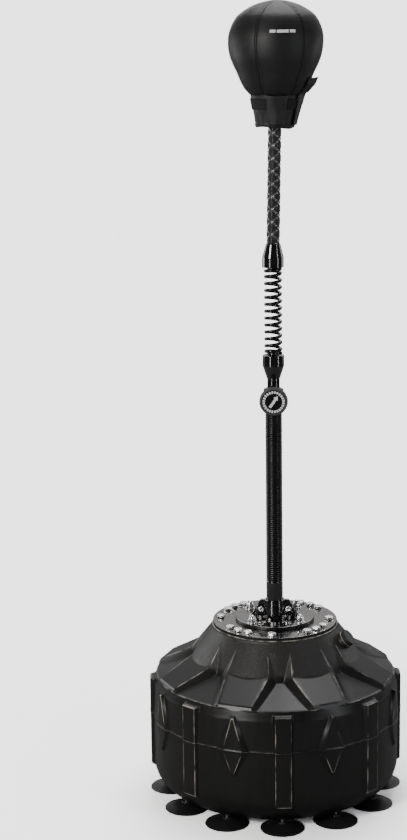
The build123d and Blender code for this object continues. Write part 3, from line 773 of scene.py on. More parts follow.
@dataclass
class Tank(Assembly):
    """The ballast tank: eight sectors, each a pad on either side of a flaring channel, a rib and half diamonds."""

    turn: float = 3.4
    sectors: int = 8
    foot_z: float = 14.0
    wall_r: float = 258.5
    foot_round: float = 57.0
    waist_z: float = 176.0
    brow: Point = (256.5, 240.0)
    edge: Point = (251.5, 258.0)
    rim: Point = (132.0, 366.0)
    rim_band: float = 5.0
    kink: Point = (181.0, 300.0)
    pad_end: Point = (247.6, 266.6)
    pad_foot: Point = (250.6, 259.6)
    channel_top: Point = (145.0, 344.8)
    knee: Point = (172.0, 291.0)
    rib_r: float = 265.0
    rib_face: float = 15.6
    rib_foot: float = 20.4
    rib_top: float = 251.5
    rib_low: float = 59.0
    diamond_r: float = 264.0
    diamond_foot: float = 31.5
    diamond_face: float = 20.0
    diamond_top: float = 249.0
    diamond_low: float = 122.0
    ridge: float = 0.9
    wall: float = 5.0
    lid: float = 8.0

    def diamond_at(self, z: float) -> Point:
        """Half-widths of a diamond's foot and face at a height."""
        span = self.diamond_top - self.waist_z if z > self.waist_z else self.waist_z - self.diamond_low
        share = max(0.0, 1 - abs(z - self.waist_z) / span)
        return (self.diamond_foot * share + 2.4, self.diamond_face * share + 0.8)

    def wall_level(self, radius: float, z: float, **more: float) -> Level:
        """A level on the upright wall."""
        rib = (self.rib_face, self.rib_foot)
        return Level((radius, z), (radius, z), rib, (40.0, 52.0), self.diamond_at(z), **more)

    def levels(self) -> list[Level]:
        """The outer skin's levels, from the middle of the top to the middle of the underside."""
        rim_r, rim_z = self.rim
        flat_rib, flat_side, flat_diamond = (3.0, 4.5), (20.5, 22.0), (16.0, 9.0)
        levels = [Level((0, rim_z), (0, rim_z), (0, 0), (0, 0), (0, 0))]
        for r, z in ((rim_r * 0.5, rim_z), (rim_r, rim_z), (rim_r, rim_z - self.rim_band)):
            share = r / rim_r
            levels.append(Level((r, z), (r, z), *[(a * share, b * share) for a, b in
                                                  (flat_rib, flat_side, flat_diamond)]))
        top_share = (self.channel_top[0] - rim_r) / (self.kink[0] - rim_r)
        levels += [
            Level(self.channel_top, self.channel_top, flat_rib, (22.0, 22.8), flat_diamond, crease=top_share),
            Level(self.kink, self.knee, (2.6, 4.0), (8.2, 24.5), (18.0, 9.0), crease=1),
            Level(self.pad_end, (self.pad_end[0], 260.2), (14.0, 17.0), (49.6, 61.0), (18.0, 9.0), flat=1),
            Level(self.pad_foot, self.pad_foot, (15.0, 18.0), (51.0, 61.6), (14.0, 7.0), flat=1),
            Level(self.edge, self.edge, (16.5, 18.6), (50.0, 60.0), (9.0, 4.0)),
            self.wall_level(253.0, self.rib_top + 1.2),
            self.wall_level(253.6, self.rib_top - 1.2, rib_on=1),
            self.wall_level(254.4, self.diamond_top - 2, rib_on=1),
            self.wall_level(255.2, self.diamond_top - 5, rib_on=1, diamond_on=1),
            self.wall_level(*self.brow, rib_on=1, diamond_on=1),
            self.wall_level(self.wall_r, self.waist_z + 2.6, rib_on=1, diamond_on=1),
            self.wall_level(self.wall_r, self.waist_z + 0.8, rib_on=1, diamond_on=1, ridge=self.ridge),
            self.wall_level(self.wall_r, self.waist_z, rib_on=1, diamond_on=1, ridge=self.ridge),
            self.wall_level(self.wall_r, self.waist_z - 0.8, rib_on=1, diamond_on=1, ridge=self.ridge),
            self.wall_level(self.wall_r, self.waist_z - 2.6, rib_on=1, diamond_on=1),
            self.wall_level(self.wall_r, self.diamond_low + 4, rib_on=1, diamond_on=1),
            self.wall_level(self.wall_r, self.diamond_low, rib_on=1),
        ]
        centre = (self.wall_r - self.foot_round, self.foot_z + self.foot_round)
        for angle in (0, 6, 11, 14, 22, 31, 40, 50, 60, 70, 80, 90):
            a = math.radians(angle)
            r, z = centre[0] + self.foot_round * math.cos(a), centre[1] - self.foot_round * math.sin(a)
            levels.append(self.wall_level(r, z, rib_on=1.0 if angle <= 11 else 0.0))
        for share in (0.6, 0.0):
            r = centre[0] * share
            sizes = [(a * share, b * share) for a, b in ((14.0, 16.0), (34.0, 44.0), (20.0, 10.0))]
            levels.append(Level((r, self.foot_z), (r, self.foot_z), *sizes))
        return levels

    @staticmethod
    def soften(levels: Sequence[Level], reach: float = 2.2, longest: float = 11.0) -> np.ndarray:
        """Round every corner between the levels and fill long stretches.

        Args:
            levels: the levels, from the top down.
            reach: how far a rounding reaches from its corner.
            longest: the longest stretch between rows.

        Returns:
            One row of numbers for each row of the mesh.
        """
        table = [level.numbers() for level in levels]
        rows = [table[0]]
        for a, p, b in zip(table, table[1:], table[2:]):
            back, ahead = np.linalg.norm(p[:2] - a[:2]), np.linalg.norm(b[:2] - p[:2])
            s, e = min(reach / back, 0.36), min(reach / ahead, 0.36)
            start, end = p + (a - p) * s, p + (b - p) * e
            rows += [p + (a - p) * min(1.35 * s, 0.45), start, (start + 2 * p + end) / 4, end,
                     p + (b - p) * min(1.35 * e, 0.45)]
        rows.append(table[-1])
        full = [rows[0]]
        for before, after in zip(rows, rows[1:]):
            parts = max(1, math.ceil(np.linalg.norm((after - before)[:2]) / longest))
            full += [before + (after - before) * i / parts for i in range(1, parts + 1)]
        return np.array(full)

    @staticmethod
    def columns() -> np.ndarray:
        """The columns of half a sector: edge number, share of the way to the next, and three weights.

        Returns:
            Rows of edge, share, rib weight, pad weight and diamond weight.
        """
        found = []

        def plain(edge: int, shares: Sequence[float], weights: Sequence[float]) -> None:
            """Columns on a stretch where nothing changes."""
            found.extend([edge, share, *weights] for share in shares)

        def slope(edge: int, before: Sequence[float], after: Sequence[float]) -> None:
            """Columns on a slope, with its corners rounded."""
            for share, weight in ((0.0, 0.03), (0.1, 0.11), (0.3, 0.3), (0.5, 0.5), (0.7, 0.7), (0.9, 0.89), (1.0, 0.97)):
                found.append([edge, share, *[x + (y - x) * weight for x, y in zip(before, after)]])

        plain(0, (0.0, 0.4, 0.75, 0.94), (1, 0, 0))
        slope(1, (1, 0, 0), (0, 0, 0))
        plain(2, (0.06, 0.35, 0.65, 0.95), (0, 0, 0))
        slope(3, (0, 0, 0), (0, 1, 0))
        plain(4, (0.06, 0.35, 0.65, 0.95), (0, 1, 0))
        slope(5, (0, 1, 0), (0, 1, 1))
        plain(6, (0.15, 0.5, 1.0), (0, 1, 1))
        return np.array(found)

    def half_angle(self) -> float:
        """Half a sector, in radians."""
        return math.pi / self.sectors

    def skin(self, rows: np.ndarray) -> np.ndarray:
        """Points of one sector's outer skin.

        Args:
            rows: the softened levels.

        Returns:
            An array of rows by columns by three, from the left joint to the right one.
        """
        columns = self.columns()
        half = self.half_angle()
        grid = np.empty((len(rows), len(columns), 3))
        steep = (self.rim[1] - self.rim_band - self.kink[1]) / (self.kink[0] - self.rim[0])
        fall = (self.kink[1] - self.pad_end[1]) / (self.pad_end[0] - self.kink[0])
        for i, row in enumerate(rows):
            pad_r, pad_z, floor_r, floor_z, rib1, rib2, side1, side2, dia1, dia2, crease, flat, rib_on, dia_on, ridge = row
            near = max(pad_r, 1e-6)
            marks = [0.0] + [math.asin(min(0.99, x / near)) if pad_r > 1e-6 else 0.0 for x in (rib1, rib2, side1, side2)]
            marks += [half - (math.asin(min(0.99, x / near)) if pad_r > 1e-6 else 0.0) for x in (dia1, dia2)] + [half]
            if pad_r <= 1e-6:
                marks = [half * share for share in (0, 0.06, 0.1, 0.4, 0.45, 0.7, 0.85, 1)]
            edge = columns[:, 0].astype(int)
            marks_array = np.array(marks)
            angle = marks_array[edge] + (marks_array[edge + 1] - marks_array[edge]) * columns[:, 1]
            off = half - angle
            kink_r = (self.kink[0] * (steep - fall)) / (steep - fall * np.cos(off))
            r = pad_r + crease * (kink_r - self.kink[0]) + flat * pad_r * (1 / np.cos(off) - 1)
            z = pad_z - crease * steep * (kink_r - self.kink[0])
            share = columns[:, 3]
            r = floor_r + (r - floor_r) * share
            z = floor_z + (z - floor_z) * share
            r = r + columns[:, 2] * rib_on * (self.rib_r - r) + columns[:, 4] * dia_on * (self.diamond_r - r) + ridge
            grid[i] = np.stack([r * np.sin(angle), -r * np.cos(angle), z], 1)
        mirrored = grid[:, :0:-1] * np.array([-1, 1, 1])
        return np.concatenate([mirrored, grid], 1)

    def lining(self, skin_row: np.ndarray, outline: Sequence[Point]) -> np.ndarray:
        """Points of one sector's inner wall, in the same columns as the skin's."""
        angle = np.arctan2(skin_row[:, 0], -skin_row[:, 1])
        rings = [np.stack([r * np.sin(angle), -r * np.cos(angle), np.full(len(angle), z)], 1) for r, z in outline]
        return np.array(rings)

    def shell(self, name: str, skin: np.ndarray, outline: Sequence[Point]) -> bpy.types.Object:
        """One closed shell from a stretch of the skin, which starts or ends at the waist.

        Args:
            name: the shell's name.
            skin: the skin's rows, the waist's row last.
            outline: radius and height of the inner wall, from the waist to the axis.

        Returns:
            The whole shell, of all its sectors.
        """
        sheet = np.concatenate([skin, self.lining(skin[-1], outline)])
        rows, columns = sheet.shape[:2]
        sector = mesh_object(name + "_sector", sheet.reshape(-1, 3), grid_faces(rows, columns, False), closed=False)
        whole = around_tree().run(name, sector, Count=self.sectors, Start=math.radians(self.turn),
                                  Material=TANK.material())
        work = bmesh.new()
        work.from_mesh(whole.data)
        if work.calc_volume(signed=True) < 0:
            bmesh.ops.reverse_faces(work, faces=work.faces)
        work.to_mesh(whole.data)
        work.free()
        store_edge_wear_and_highlight(whole)
        return whole

    def build(self) -> None:
        """Both shells."""
        rows = self.soften(self.levels())
        skin = self.skin(rows)
        middle = int(np.argmin(np.abs(rows[:, 1] - self.waist_z)))
        inner_r = self.wall_r - self.wall
        upper = self.shell("tank_upper_shell", skin[:middle + 1], [
            (inner_r - 14, self.waist_z), (inner_r - 14, self.waist_z + 6), (inner_r - 0.5, self.waist_z + 6),
            (self.brow[0] - self.wall, self.brow[1] - 2), (self.edge[0] - self.wall, self.edge[1] - self.wall),
            (self.knee[0] - self.wall, self.knee[1] - self.wall), (self.rim[0] - 2, self.rim[1] - self.lid - 22),
            (self.rim[0] - 11, self.rim[1] - self.lid), (0, self.rim[1] - self.lid),
        ])
        self.place(upper, Body.BASE, "tank_plastic", ["tank_upper"])
        floor = self.foot_z + self.wall
        bend = [(self.wall_r - self.foot_round + (self.foot_round - self.wall) * math.cos(math.radians(a)),
                 self.foot_z + self.foot_round - (self.foot_round - self.wall) * math.sin(math.radians(a)))
                for a in (0, 30, 60, 90)]
        lower = self.shell("tank_lower_shell", skin[middle:][::-1], [
            (inner_r - 14, self.waist_z), (inner_r - 14, self.waist_z - 6), (inner_r, self.waist_z - 6), *bend, (0, floor),
        ])
        self.place(lower, Body.BASE, "tank_plastic", ["tank_lower"])
        self.dress(SEAL_RUBBER, "waist_seal")


@dataclass
class Filler(Assembly):
    """The filler's neck, its seal and its knurled screw cap."""

    azimuth: float = 70.9
    radius: float = 152.0
    height: float = 340.0
    rise: float = 38.8
    neck_r: float = 18.0
    bore_r: float = 12.0
    out: float = 6.0
    cap_r: float = 17.0

    def frame(self) -> Matrix:
        """The neck's frame, with +Z out along its axis."""
        place = Matrix.Translation(polar(self.radius, self.azimuth, self.height))
        return place @ Matrix.Rotation(math.radians(self.azimuth), 4, "Z") @ Matrix.Rotation(
            math.radians(90 - self.rise), 4, "X")

    def build(self) -> None:
        """The neck and the cap."""
        neck = lathe("filler_neck", rounded([
            (self.bore_r, -9), (self.neck_r, -9), (self.neck_r, self.out), (self.bore_r, self.out), (self.bore_r, -9),
        ], 0.8)[1:], 48, loop=True)
        store_edge_wear_and_highlight(neck)
        self.place(self.finish(turned(neck, self.frame()), TANK), Body.BASE, "tank_plastic")
        outline = rounded([(0, self.out - 4), (self.bore_r - 0.4, self.out - 4), (self.bore_r - 0.4, self.out + 2),
                           (self.cap_r, self.out + 2), (self.cap_r, self.out + 9), (self.cap_r - 4, self.out + 9),
                           (self.cap_r - 5, self.out + 8), (0, self.out + 8)], 0.8)
        fluted = [1.0 if r > self.cap_r - 2 and self.out + 2.6 < z < self.out + 8.4 else 0.0 for r, z in outline]
        cap = lathe("filler_screw_cap", outline, 192, lambda a: -0.9 * np.abs(np.sin(a * 12)) ** 3, fluted)
        self.place(self.finish(turned(cap, self.frame()), CAP_PLASTIC), Body.CAP, "cap_plastic", ["filler_cap"])
        self.dress(SEAL_RUBBER, "filler_seal")


@dataclass
class SuctionCups(Assembly):
    """Twelve suction cups on a ring."""

    count: int = 12
    ring_r: float = 222.0
    radius: float = 45.0
    crown: float = 12.0
    stem: float = 9.0
    top: float = 14.0
    turn: float = 3.4

    def build(self) -> None:
        """One cup, repeated."""
        cup = lathe("cup", rounded([
            (0, self.crown - 4.5), (12, self.crown - 5), (self.radius - 4, 0.6), (self.radius - 3, 0), (self.radius, 0),
            (self.radius + 0.2, 1.5), (self.radius - 5, 3.0), (26, 7.6), (15, self.crown - 1.6), (self.stem, self.crown),
            (self.stem, self.top + 0.5), (0, self.top + 0.5),
        ], 1.0), 56)
        turned(cup, Matrix.Translation((0, -self.ring_r, 0)))
        cups = around_tree().run("suction_cups", cup, Count=self.count, Start=math.radians(self.turn),
                                 Material=CUP_RUBBER.material())
        nodes = [f"suction_cup_{i + 1:02d}" for i in range(self.count)]
        self.place(cups, Body.BASE, "cup_rubber", nodes)
        self.dress(ZINC, "cup_studs")


@dataclass
class Plates(Assembly):
    """The two plates on the tank and all their fasteners."""

    turn: float = 3.4
    plate_r: float = 130.0
    flange_r: float = 82.5
    bolt_r: float = 114.0
    triplet: float = 12.7
    single: float = -6.6
    square: float = 49.5
    across: float = 16.0
    head: float = 6.4

    def hexagon(self, name: str, across: float, height: float, dome: float = 0.0) -> bpy.types.Object:
        """A hexagon head or nut with a washer face and a chamfered crown, and a dome if asked.

        Args:
            name: the piece's name.
            across: across the flats.
            height: of the hexagon.
            dome: radius of the dome on top, or 0.

        Returns:
            The piece, standing at the origin.
        """
        steps = 48
        turn = np.linspace(0, 2 * math.pi, steps, endpoint=False)
        off = np.mod(turn, math.pi / 3) - math.pi / 6
        side = across / 2 / np.cos(off)
        inner = across / 2 * 0.95

        def ring(radius: np.ndarray | float, z: np.ndarray | float) -> np.ndarray:
            """One ring of points."""
            r = np.broadcast_to(radius, steps)
            return np.stack([r * np.sin(turn), -r * np.cos(turn), np.broadcast_to(z, steps)], 1)

        shoulder = height - (side - inner) * 0.55
        rings = [ring(0, 0), ring(across / 2 * 0.97, 0), ring(across / 2 * 0.97, 0.5), ring(side - 0.25, 0.5),
                 ring(side, 0.8), ring(side, shoulder - 0.3), ring(side - 0.25, shoulder), ring(inner, height)]
        if dome:
            for a in np.radians([0, 15, 30, 45, 60, 75, 90]):
                rings.append(ring(dome * math.cos(a), height + 0.8 + dome * math.sin(a)))
        else:
            rings += [ring(inner * 0.8, height), ring(0, height)]
        return mesh_object(name, np.concatenate(rings), grid_faces(len(rings), steps, True))

    def spread(self, name: str, part: bpy.types.Object, places: Sequence[Sequence[float]], twist: float,
               finish: Finish, seed: int = 1) -> bpy.types.Object:
        """Repeat a fastener at some places, with the fastener itself used up."""
        spots = mesh_object(name + "_places", np.array(places), [], closed=False)
        made = scatter_tree().run(name, spots, Instance=part, Twist=twist, Seed=seed, Material=finish.material())
        bpy.data.objects.remove(part)
        return made

    def ring_azimuths(self) -> list[float]:
        """Three bolts at each corner and one between the corners."""
        found: list[float] = []
        for quarter in range(4):
            middle = self.turn + 45 + 90 * quarter
            found += [middle - self.triplet, middle, middle + self.triplet, self.turn + self.single + 90 * quarter]
        return found

    def disc(self, name: str, node: str, radius: float, round_by: float) -> bpy.types.Object:
        """A plate with a polished top and a black edge."""
        low, high = limits(node)
        disc = lathe(name, rounded([(0, low.z), (radius, low.z), (radius, high.z), (radius * 0.5, high.z), (0, high.z)],
                                   round_by), 160)
        self.finish(disc, PLATE, BLACK_EDGE)
        for face in disc.data.polygons:
            if face.normal.z < 0.75:
                face.material_index = 1
        return self.place(disc, Body.BASE, "polished_plate", [node])

    def build(self) -> None:
        """Plates, bolts, washers and cap nuts."""
        self.disc("top_plate", "mounting_plate", self.plate_r, 0.7)
        self.disc("flange_disc", "flange_plate", self.flange_r, 1.0)
        plate_top = limits("mounting_plate")[1].z
        flange_top = limits("flange_plate")[1].z
        heads = [polar(self.bolt_r, a, plate_top) for a in self.ring_azimuths()]
        bolts = self.spread("ring_bolt_heads", self.hexagon("head", self.across, self.head), heads, math.pi / 3, CHROME, 4)
        self.place(bolts, Body.BASE, "chrome_bolt", ["plate_bolts"])
        corner = self.square * math.sqrt(2)
        studs = [polar(corner, self.turn + 45 + 90 * i, flange_top) for i in range(4)]
        washer = lathe("washer", rounded([(5, 0), (10, 0), (10, 2), (5, 2), (5, 0)], 0.4)[1:], 40, loop=True)
        self.place(self.spread("stud_washers", washer, studs, 0.0, CHROME), Body.BASE, "chrome_bolt", ["flange_washers"])
        nuts = [(x, y, z + 2) for x, y, z in studs]
        cap_nut = self.hexagon("nut", self.across, 7.6, 6.8)
        self.place(self.spread("acorn_nuts", cap_nut, nuts, math.pi / 3, CHROME, 9), Body.BASE, "chrome_bolt", ["cap_nuts"])
        self.dress(SEAL_RUBBER, "plate_gasket")
        self.dress(ZINC, "threaded_inserts", "flange_studs")


@dataclass
class Socket(Assembly):
    """The split socket that grips the foot of the pole."""

    clamp_x: float = 28.0
    clamp_z: float = 15.0
    face: float = 4.6

    def softened(self, name: str, node: str, width: float) -> bpy.types.Object:
        """A copy of a CAD node's shape with its edges rounded.

        Args:
            name: the new piece's name.
            node: the CAD node.
            width: how wide the rounding is.

        Returns:
            The copy.
        """
        work = bmesh.new()
        work.from_mesh(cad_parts[node].data)
        bmesh.ops.remove_doubles(work, verts=work.verts, dist=1e-5)
        bmesh.ops.dissolve_limit(work, angle_limit=math.radians(1.0), verts=work.verts, edges=work.edges)
        mesh = bpy.data.meshes.new(name)
        work.to_mesh(mesh)
        work.free()
        copy = bpy.data.objects.new(name, mesh)
        bpy.context.scene.collection.objects.link(copy)
        bevel = copy.modifiers.new("rounding", "BEVEL")
        bevel.width = width * MM
        bevel.segments = 3
        bevel.limit_method = "ANGLE"
        bevel.angle_limit = math.radians(32)
        bevel.use_clamp_overlap = True
        evaluated = copy.evaluated_get(bpy.context.evaluated_depsgraph_get())
        copy.data = bpy.data.meshes.new_from_object(evaluated)
        copy.modifiers.clear()
        copy.data.shade_smooth()
        copy.data.set_sharp_from_angle(angle=math.radians(38))
        return copy

    def build(self) -> None:
        """Both halves and their bolts."""
        for name, node in (("socket_front_half", "socket_front"), ("socket_rear_half", "socket_rear")):
            half = self.finish(self.softened(name, node, 0.8), ENAMEL)
            self.place(half, Body.BASE, "black_enamel", [node])
        base_z = limits("flange_plate")[1].z
        bolts, nuts = [], []
        for x in (-self.clamp_x, self.clamp_x):
            head = lathe("head", rounded([
                (0, -9), (4, -9), (4, 0), (6.9, 0), (6.9, 2.6), (5.4, 4.6), (3.4, 5.0), (3.0, 3.2), (0, 2.8)], 0.9), 48)
            bolts.append(turned(head, along_y(x, base_z + self.clamp_z, -self.face)))
            nut = Plates().hexagon("nut", 13, 6.5)
            nuts.append(turned(nut, along_y(x, base_z + self.clamp_z, self.face) @ Matrix.Rotation(math.pi, 4, "X")))
        self.place(self.finish(joined("socket_bolts", bolts), CHROME), Body.BASE, "chrome_bolt", ["clamp_bolts"])
        self.place(self.finish(joined("socket_nuts", nuts), ZINC), Body.BASE, "zinc_steel", ["clamp_nuts"])
        self.dress(ZINC, "foot_screws")


@dataclass
class Pole(Assembly):
    """The outer tube with its ribbed sleeve, the guide collar, and the inner tube with the lower spring collar."""

    pitch: float = 4.2
    rib_out: float = 0.75
    tube_r: float = 17.25

    def build(self) -> None:
        """Outer and inner tubes."""
        low, high = limits("outer_tube")
        sleeve_low, sleeve_high = limits("ribbed_sleeve")
        bore = 14.7
        tube = lathe("outer_pole", rounded([
            (bore, low.z), (self.tube_r, low.z), (self.tube_r, sleeve_low.z - 1), (self.tube_r - 0.9, sleeve_low.z + 0.5),
            (self.tube_r - 0.9, high.z), (bore, high.z), (bore, low.z)], 0.5)[1:], 64, loop=True)
        self.place(self.finish(tube, ENAMEL), Body.BASE, "black_enamel", ["outer_tube"])
        ring = lathe("rib", [
            (self.tube_r - 1.4, -self.pitch / 2), (self.tube_r - 0.7, -self.pitch / 2), (self.tube_r - 0.55, -1.3),
            (self.tube_r - 0.05, -0.85), (self.tube_r, 0), (self.tube_r - 0.05, 0.85), (self.tube_r - 0.55, 1.3),
            (self.tube_r - 0.7, self.pitch / 2), (self.tube_r - 1.4, self.pitch / 2)], 56, loop=True)
        count = int((sleeve_high.z - sleeve_low.z) / self.pitch)
        step = (sleeve_high.z - sleeve_low.z) / count
        sleeve = stack_tree().run("ribbed_pole_sleeve", ring, Count=count, Pitch=step * MM,
                                  Start=(sleeve_low.z + step / 2) * MM, Material=RIBBED.material())
        self.place(sleeve, Body.BASE, "ribbed_plastic", ["ribbed_sleeve"])
        low, high = limits("guide_collar")
        collar_z = sleeve_high.z
        collar = lathe("pole_guide_collar", rounded([
            (12.8, low.z), (14.6, low.z), (14.6, high.z - 8), (16.5, high.z - 8), (16.5, collar_z), (19.6, collar_z),
            (20.5, collar_z + 1.5), (20.5, high.z - 3), (18.0, high.z), (12.8, high.z), (12.8, low.z)], 0.9)[1:],
            72, loop=True)
        self.place(self.finish(collar, CAP_PLASTIC), Body.BASE, "cap_plastic", ["guide_collar"])
        low, high = limits("inner_tube")
        inner = lathe("inner_pole_tube", rounded([
            (10.95, low.z), (12.7, low.z), (12.7, high.z), (10.95, high.z), (10.95, low.z)], 0.4)[1:], 56, loop=True)
        self.place(self.finish(inner, ENAMEL), Body.POLE, "black_enamel", ["inner_tube"])
        low, high = limits("lower_collar")
        flare = low.z + 26
        collar = lathe("lower_spring_cup", rounded([
            (12.7, low.z), (13.6, low.z), (22, flare), (22, high.z), (18.6, high.z), (18.0, high.z - 1.2),
            (8.2, high.z - 1.2), (8.2, high.z - 12), (12.7, high.z - 12), (12.7, low.z)], 0.9)[1:], 72, loop=True)
        self.place(self.finish(collar, ENAMEL), Body.POLE, "black_enamel", ["lower_collar"])
        self.dress(CAP_PLASTIC, "tube_glide")
        self.dress(ENAMEL, "lower_spring_plug", "upper_spring_plug")


@dataclass
class ClampKnob(Assembly):
    """The clamp knob: knurled body, dial with plain marks, boss, screw and shoe."""

    centre_z: float = 845.0
    radius: float = 29.3
    face_y: float = -46.0
    depth: float = 15.0
    dial_r: float = 23.8

    def plaque(self, name: str, corners: Sequence[Point], thick: float = 0.35) -> bpy.types.Object:
        """A thin raised mark from its outline, lying in the dial's plane."""
        count = len(corners)
        points = [(x, y, z) for z in (-0.2, thick) for x, y in corners]
        faces = [tuple(range(count)), tuple(range(count, 2 * count))[::-1]]
        faces += [(i, (i + 1) % count, count + (i + 1) % count, count + i) for i in range(count)]
        mark = mesh_object(name, np.array(points), faces)
        mark.data.shade_flat()
        return mark

    def arc(self, name: str, inner: float, outer: float, half: float) -> bpy.types.Object:
        """A mark that is a piece of a ring, centred on the front."""
        angles = np.linspace(-half, half, 7)
        rim = [(outer * math.sin(a), outer * math.cos(a)) for a in angles]
        back = [(inner * math.sin(a), inner * math.cos(a)) for a in angles[::-1]]
        return self.plaque(name, rim + back)

    def build(self) -> None:
        """Knob, dial and marks."""
        front = along_y(0, self.centre_z, self.face_y)
        outline = rounded([
            (0, -self.depth), (self.radius - 3, -self.depth), (self.radius, -self.depth + 3), (self.radius, -3),
            (self.radius - 3, 0), (self.dial_r + 0.8, 0), (self.dial_r + 0.3, -1.3), (0, -1.3)], 1.2)
        fluted = [1.0 if r > self.radius - 1.6 else 0.0 for r, _ in outline]
        body = lathe("knob_grip", outline, 360, lambda a: -0.8 * (0.5 - 0.5 * np.cos(a * 36)) ** 2, fluted)
        self.place(self.finish(turned(body, front), KNOB_GREY), Body.KNOB, "knob_plastic", ["knob_body"])
        dial = lathe("knob_dial", rounded([(0, -1.5), (self.dial_r, -1.5), (self.dial_r, -0.3), (0, -0.1)], 0.4), 96)
        self.place(self.finish(turned(dial, front), DIAL_BLACK), Body.KNOB, "knob_label", ["knob_face"])
        raised = front @ Matrix.Translation((0, 0, -0.15))
        ticks = around_tree().run("ticks", self.arc("tick", 17.6, 22.4, math.radians(5.2)), Count=24, Start=0.13,
                                  Material=INK.material())
        bar = self.plaque("bar", [(-2.6, -13.5), (2.6, -13.5), (2.6, 7), (5.4, 7), (0, 15), (-5.4, 7), (-2.6, 7)])
        turned(bar, Matrix.Rotation(math.radians(-35), 4, "Z"))
        marks = self.finish(joined("knob_marks", [ticks, bar]), INK)
        self.place(turned(marks, raised), Body.KNOB, "knob_label")
        boss = lathe("clamp_boss", rounded([(5.1, 10), (11, 10), (11, 29.5), (9, 30.5), (5.1, 30.5), (5.1, 10)], 0.8)[1:],
                     48, loop=True)
        turned(boss, along_y(0, self.centre_z, 0))
        self.place(self.finish(boss, CAP_PLASTIC), Body.BASE, "cap_plastic", ["knob_boss"])
        self.dress(ZINC, "clamp_screw")
        self.dress(CAP_PLASTIC, "clamp_shoe")


def lean(points: np.ndarray) -> np.ndarray:
    """The slight lean of everything above the spring, on points in millimetres."""
    from_z, slope = 1120.0, 0.0185
    out = np.array(points, float)
    out[..., 0] += np.clip(out[..., 2] - from_z, 0, None) * slope
    return out


def leaned(piece: bpy.types.Object) -> bpy.types.Object:
    """Apply the lean to a finished mesh."""
    place = np.array([v.co[:] for v in piece.data.vertices]) / MM
    piece.data.vertices.foreach_set("co", (lean(place) * MM).ravel())
    piece.data.update()
    return piece


@dataclass
class Spring(Assembly):
    """The coil spring, in two halves."""

    wire_r: float = 3.4
    coil_r: float = 15.2
    turns: float = 13.0
    start_angle: float = 0.0

    def build(self) -> None:
        """Both halves."""
        low = limits("lower_collar")[1].z
        high = limits("upper_collar")[0].z
        tree = coil_tree()
        for name, first, last in (("spring_lower_half", 0.0, self.turns / 2), ("spring_upper_half", self.turns / 2,
                                                                              self.turns)):
            seed = mesh_object("seed", np.zeros((1, 3)), [], closed=False)
            half = tree.run(name, seed, Turns=self.turns, Height=(high - low - 2 * self.wire_r) * MM,
                            Radius=self.coil_r * MM, Wire=self.wire_r * MM, Start=(low + self.wire_r) * MM,
                            From=first, To=last, Count=int(self.turns / 2 * 40), Material=SPRING_BLACK.material())
            if first == 0.0:
                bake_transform(half)
                self.record(half, "spring_steel", ["main_spring"])
            else:
                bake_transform(half)
                self.record(half, "spring_steel", [])


@dataclass
class Grip(Assembly):
    """The upper spring collar and the lattice grip on the rod."""

    radius: float = 13.6
    lead: float = 50.4
    starts: int = 2
    front: float = -25.0
    crossing_z: float = 1383.0
    channel: float = 2.6
    depth: float = 1.3
    step: float = 0.95

    def build(self) -> None:
        """Collar and grip."""
        low, high = limits("upper_collar")
        collar = lathe("upper_spring_cup", rounded([
            (8.2, low.z + 1.2), (18.0, low.z + 1.2), (18.6, low.z), (22, low.z), (22, low.z + 20), (14.6, high.z),
            (8.0, high.z), (8.2, low.z + 1.2)], 0.9)[1:], 72, loop=True)
        self.place(self.finish(leaned(collar), ENAMEL), Body.HEAD, "black_enamel", ["upper_collar"])
        low, high = limits("lattice_grip")
        steps = 96
        turn = np.linspace(0, 2 * math.pi, steps, endpoint=False)
        heights = np.linspace(low.z, high.z, int((high.z - low.z) / self.step))
        angle, z = np.meshgrid(turn, heights)
        apart = 2 * math.pi / self.starts
        slant = math.sin(math.atan(self.lead / (2 * math.pi * self.radius)))
        pad = np.ones(angle.shape)
        away = np.full(angle.shape, 1e9)
        for hand in (1, -1):
            phase = angle - math.radians(self.front) - hand * 2 * math.pi * (z - self.crossing_z) / self.lead
            off = np.mod(phase + apart / 2, apart) - apart / 2
            across = np.abs(off) * self.radius * slant
            away = np.minimum(away, across)
            pad *= ease(across, self.channel * 0.3, self.channel * 1.5)
        crown = np.clip(away / 7.0, 0, 1)
        r = self.radius - self.depth + self.depth * (0.8 * pad + 0.2 * np.sin(crown * math.pi / 2) * pad)
        skin = np.stack([r * np.sin(angle), -r * np.cos(angle), z], 2)
        ends = [np.stack([k * np.sin(turn), -k * np.cos(turn), np.full(steps, h)], 1)
                for k, h in ((8.0, low.z), (8.0, high.z))]
        points = np.concatenate([ends[0][None], skin, ends[1][None], ends[0][None]]).reshape(-1, 3)
        grip = mesh_object("lattice_grip_sleeve", points, grid_faces(len(heights) + 3, steps, True))
        place = np.array([v.co[:] for v in grip.data.vertices]) / MM
        reach = np.hypot(place[:, 0], place[:, 1])
        store(grip, "pad", np.clip((reach - self.radius + self.depth) / (self.depth * 0.8), 0, 1))
        self.place(self.finish(leaned(grip), GRIP), Body.HEAD, "grip_rubber", ["lattice_grip"])
        self.dress(ZINC, "rod_core")


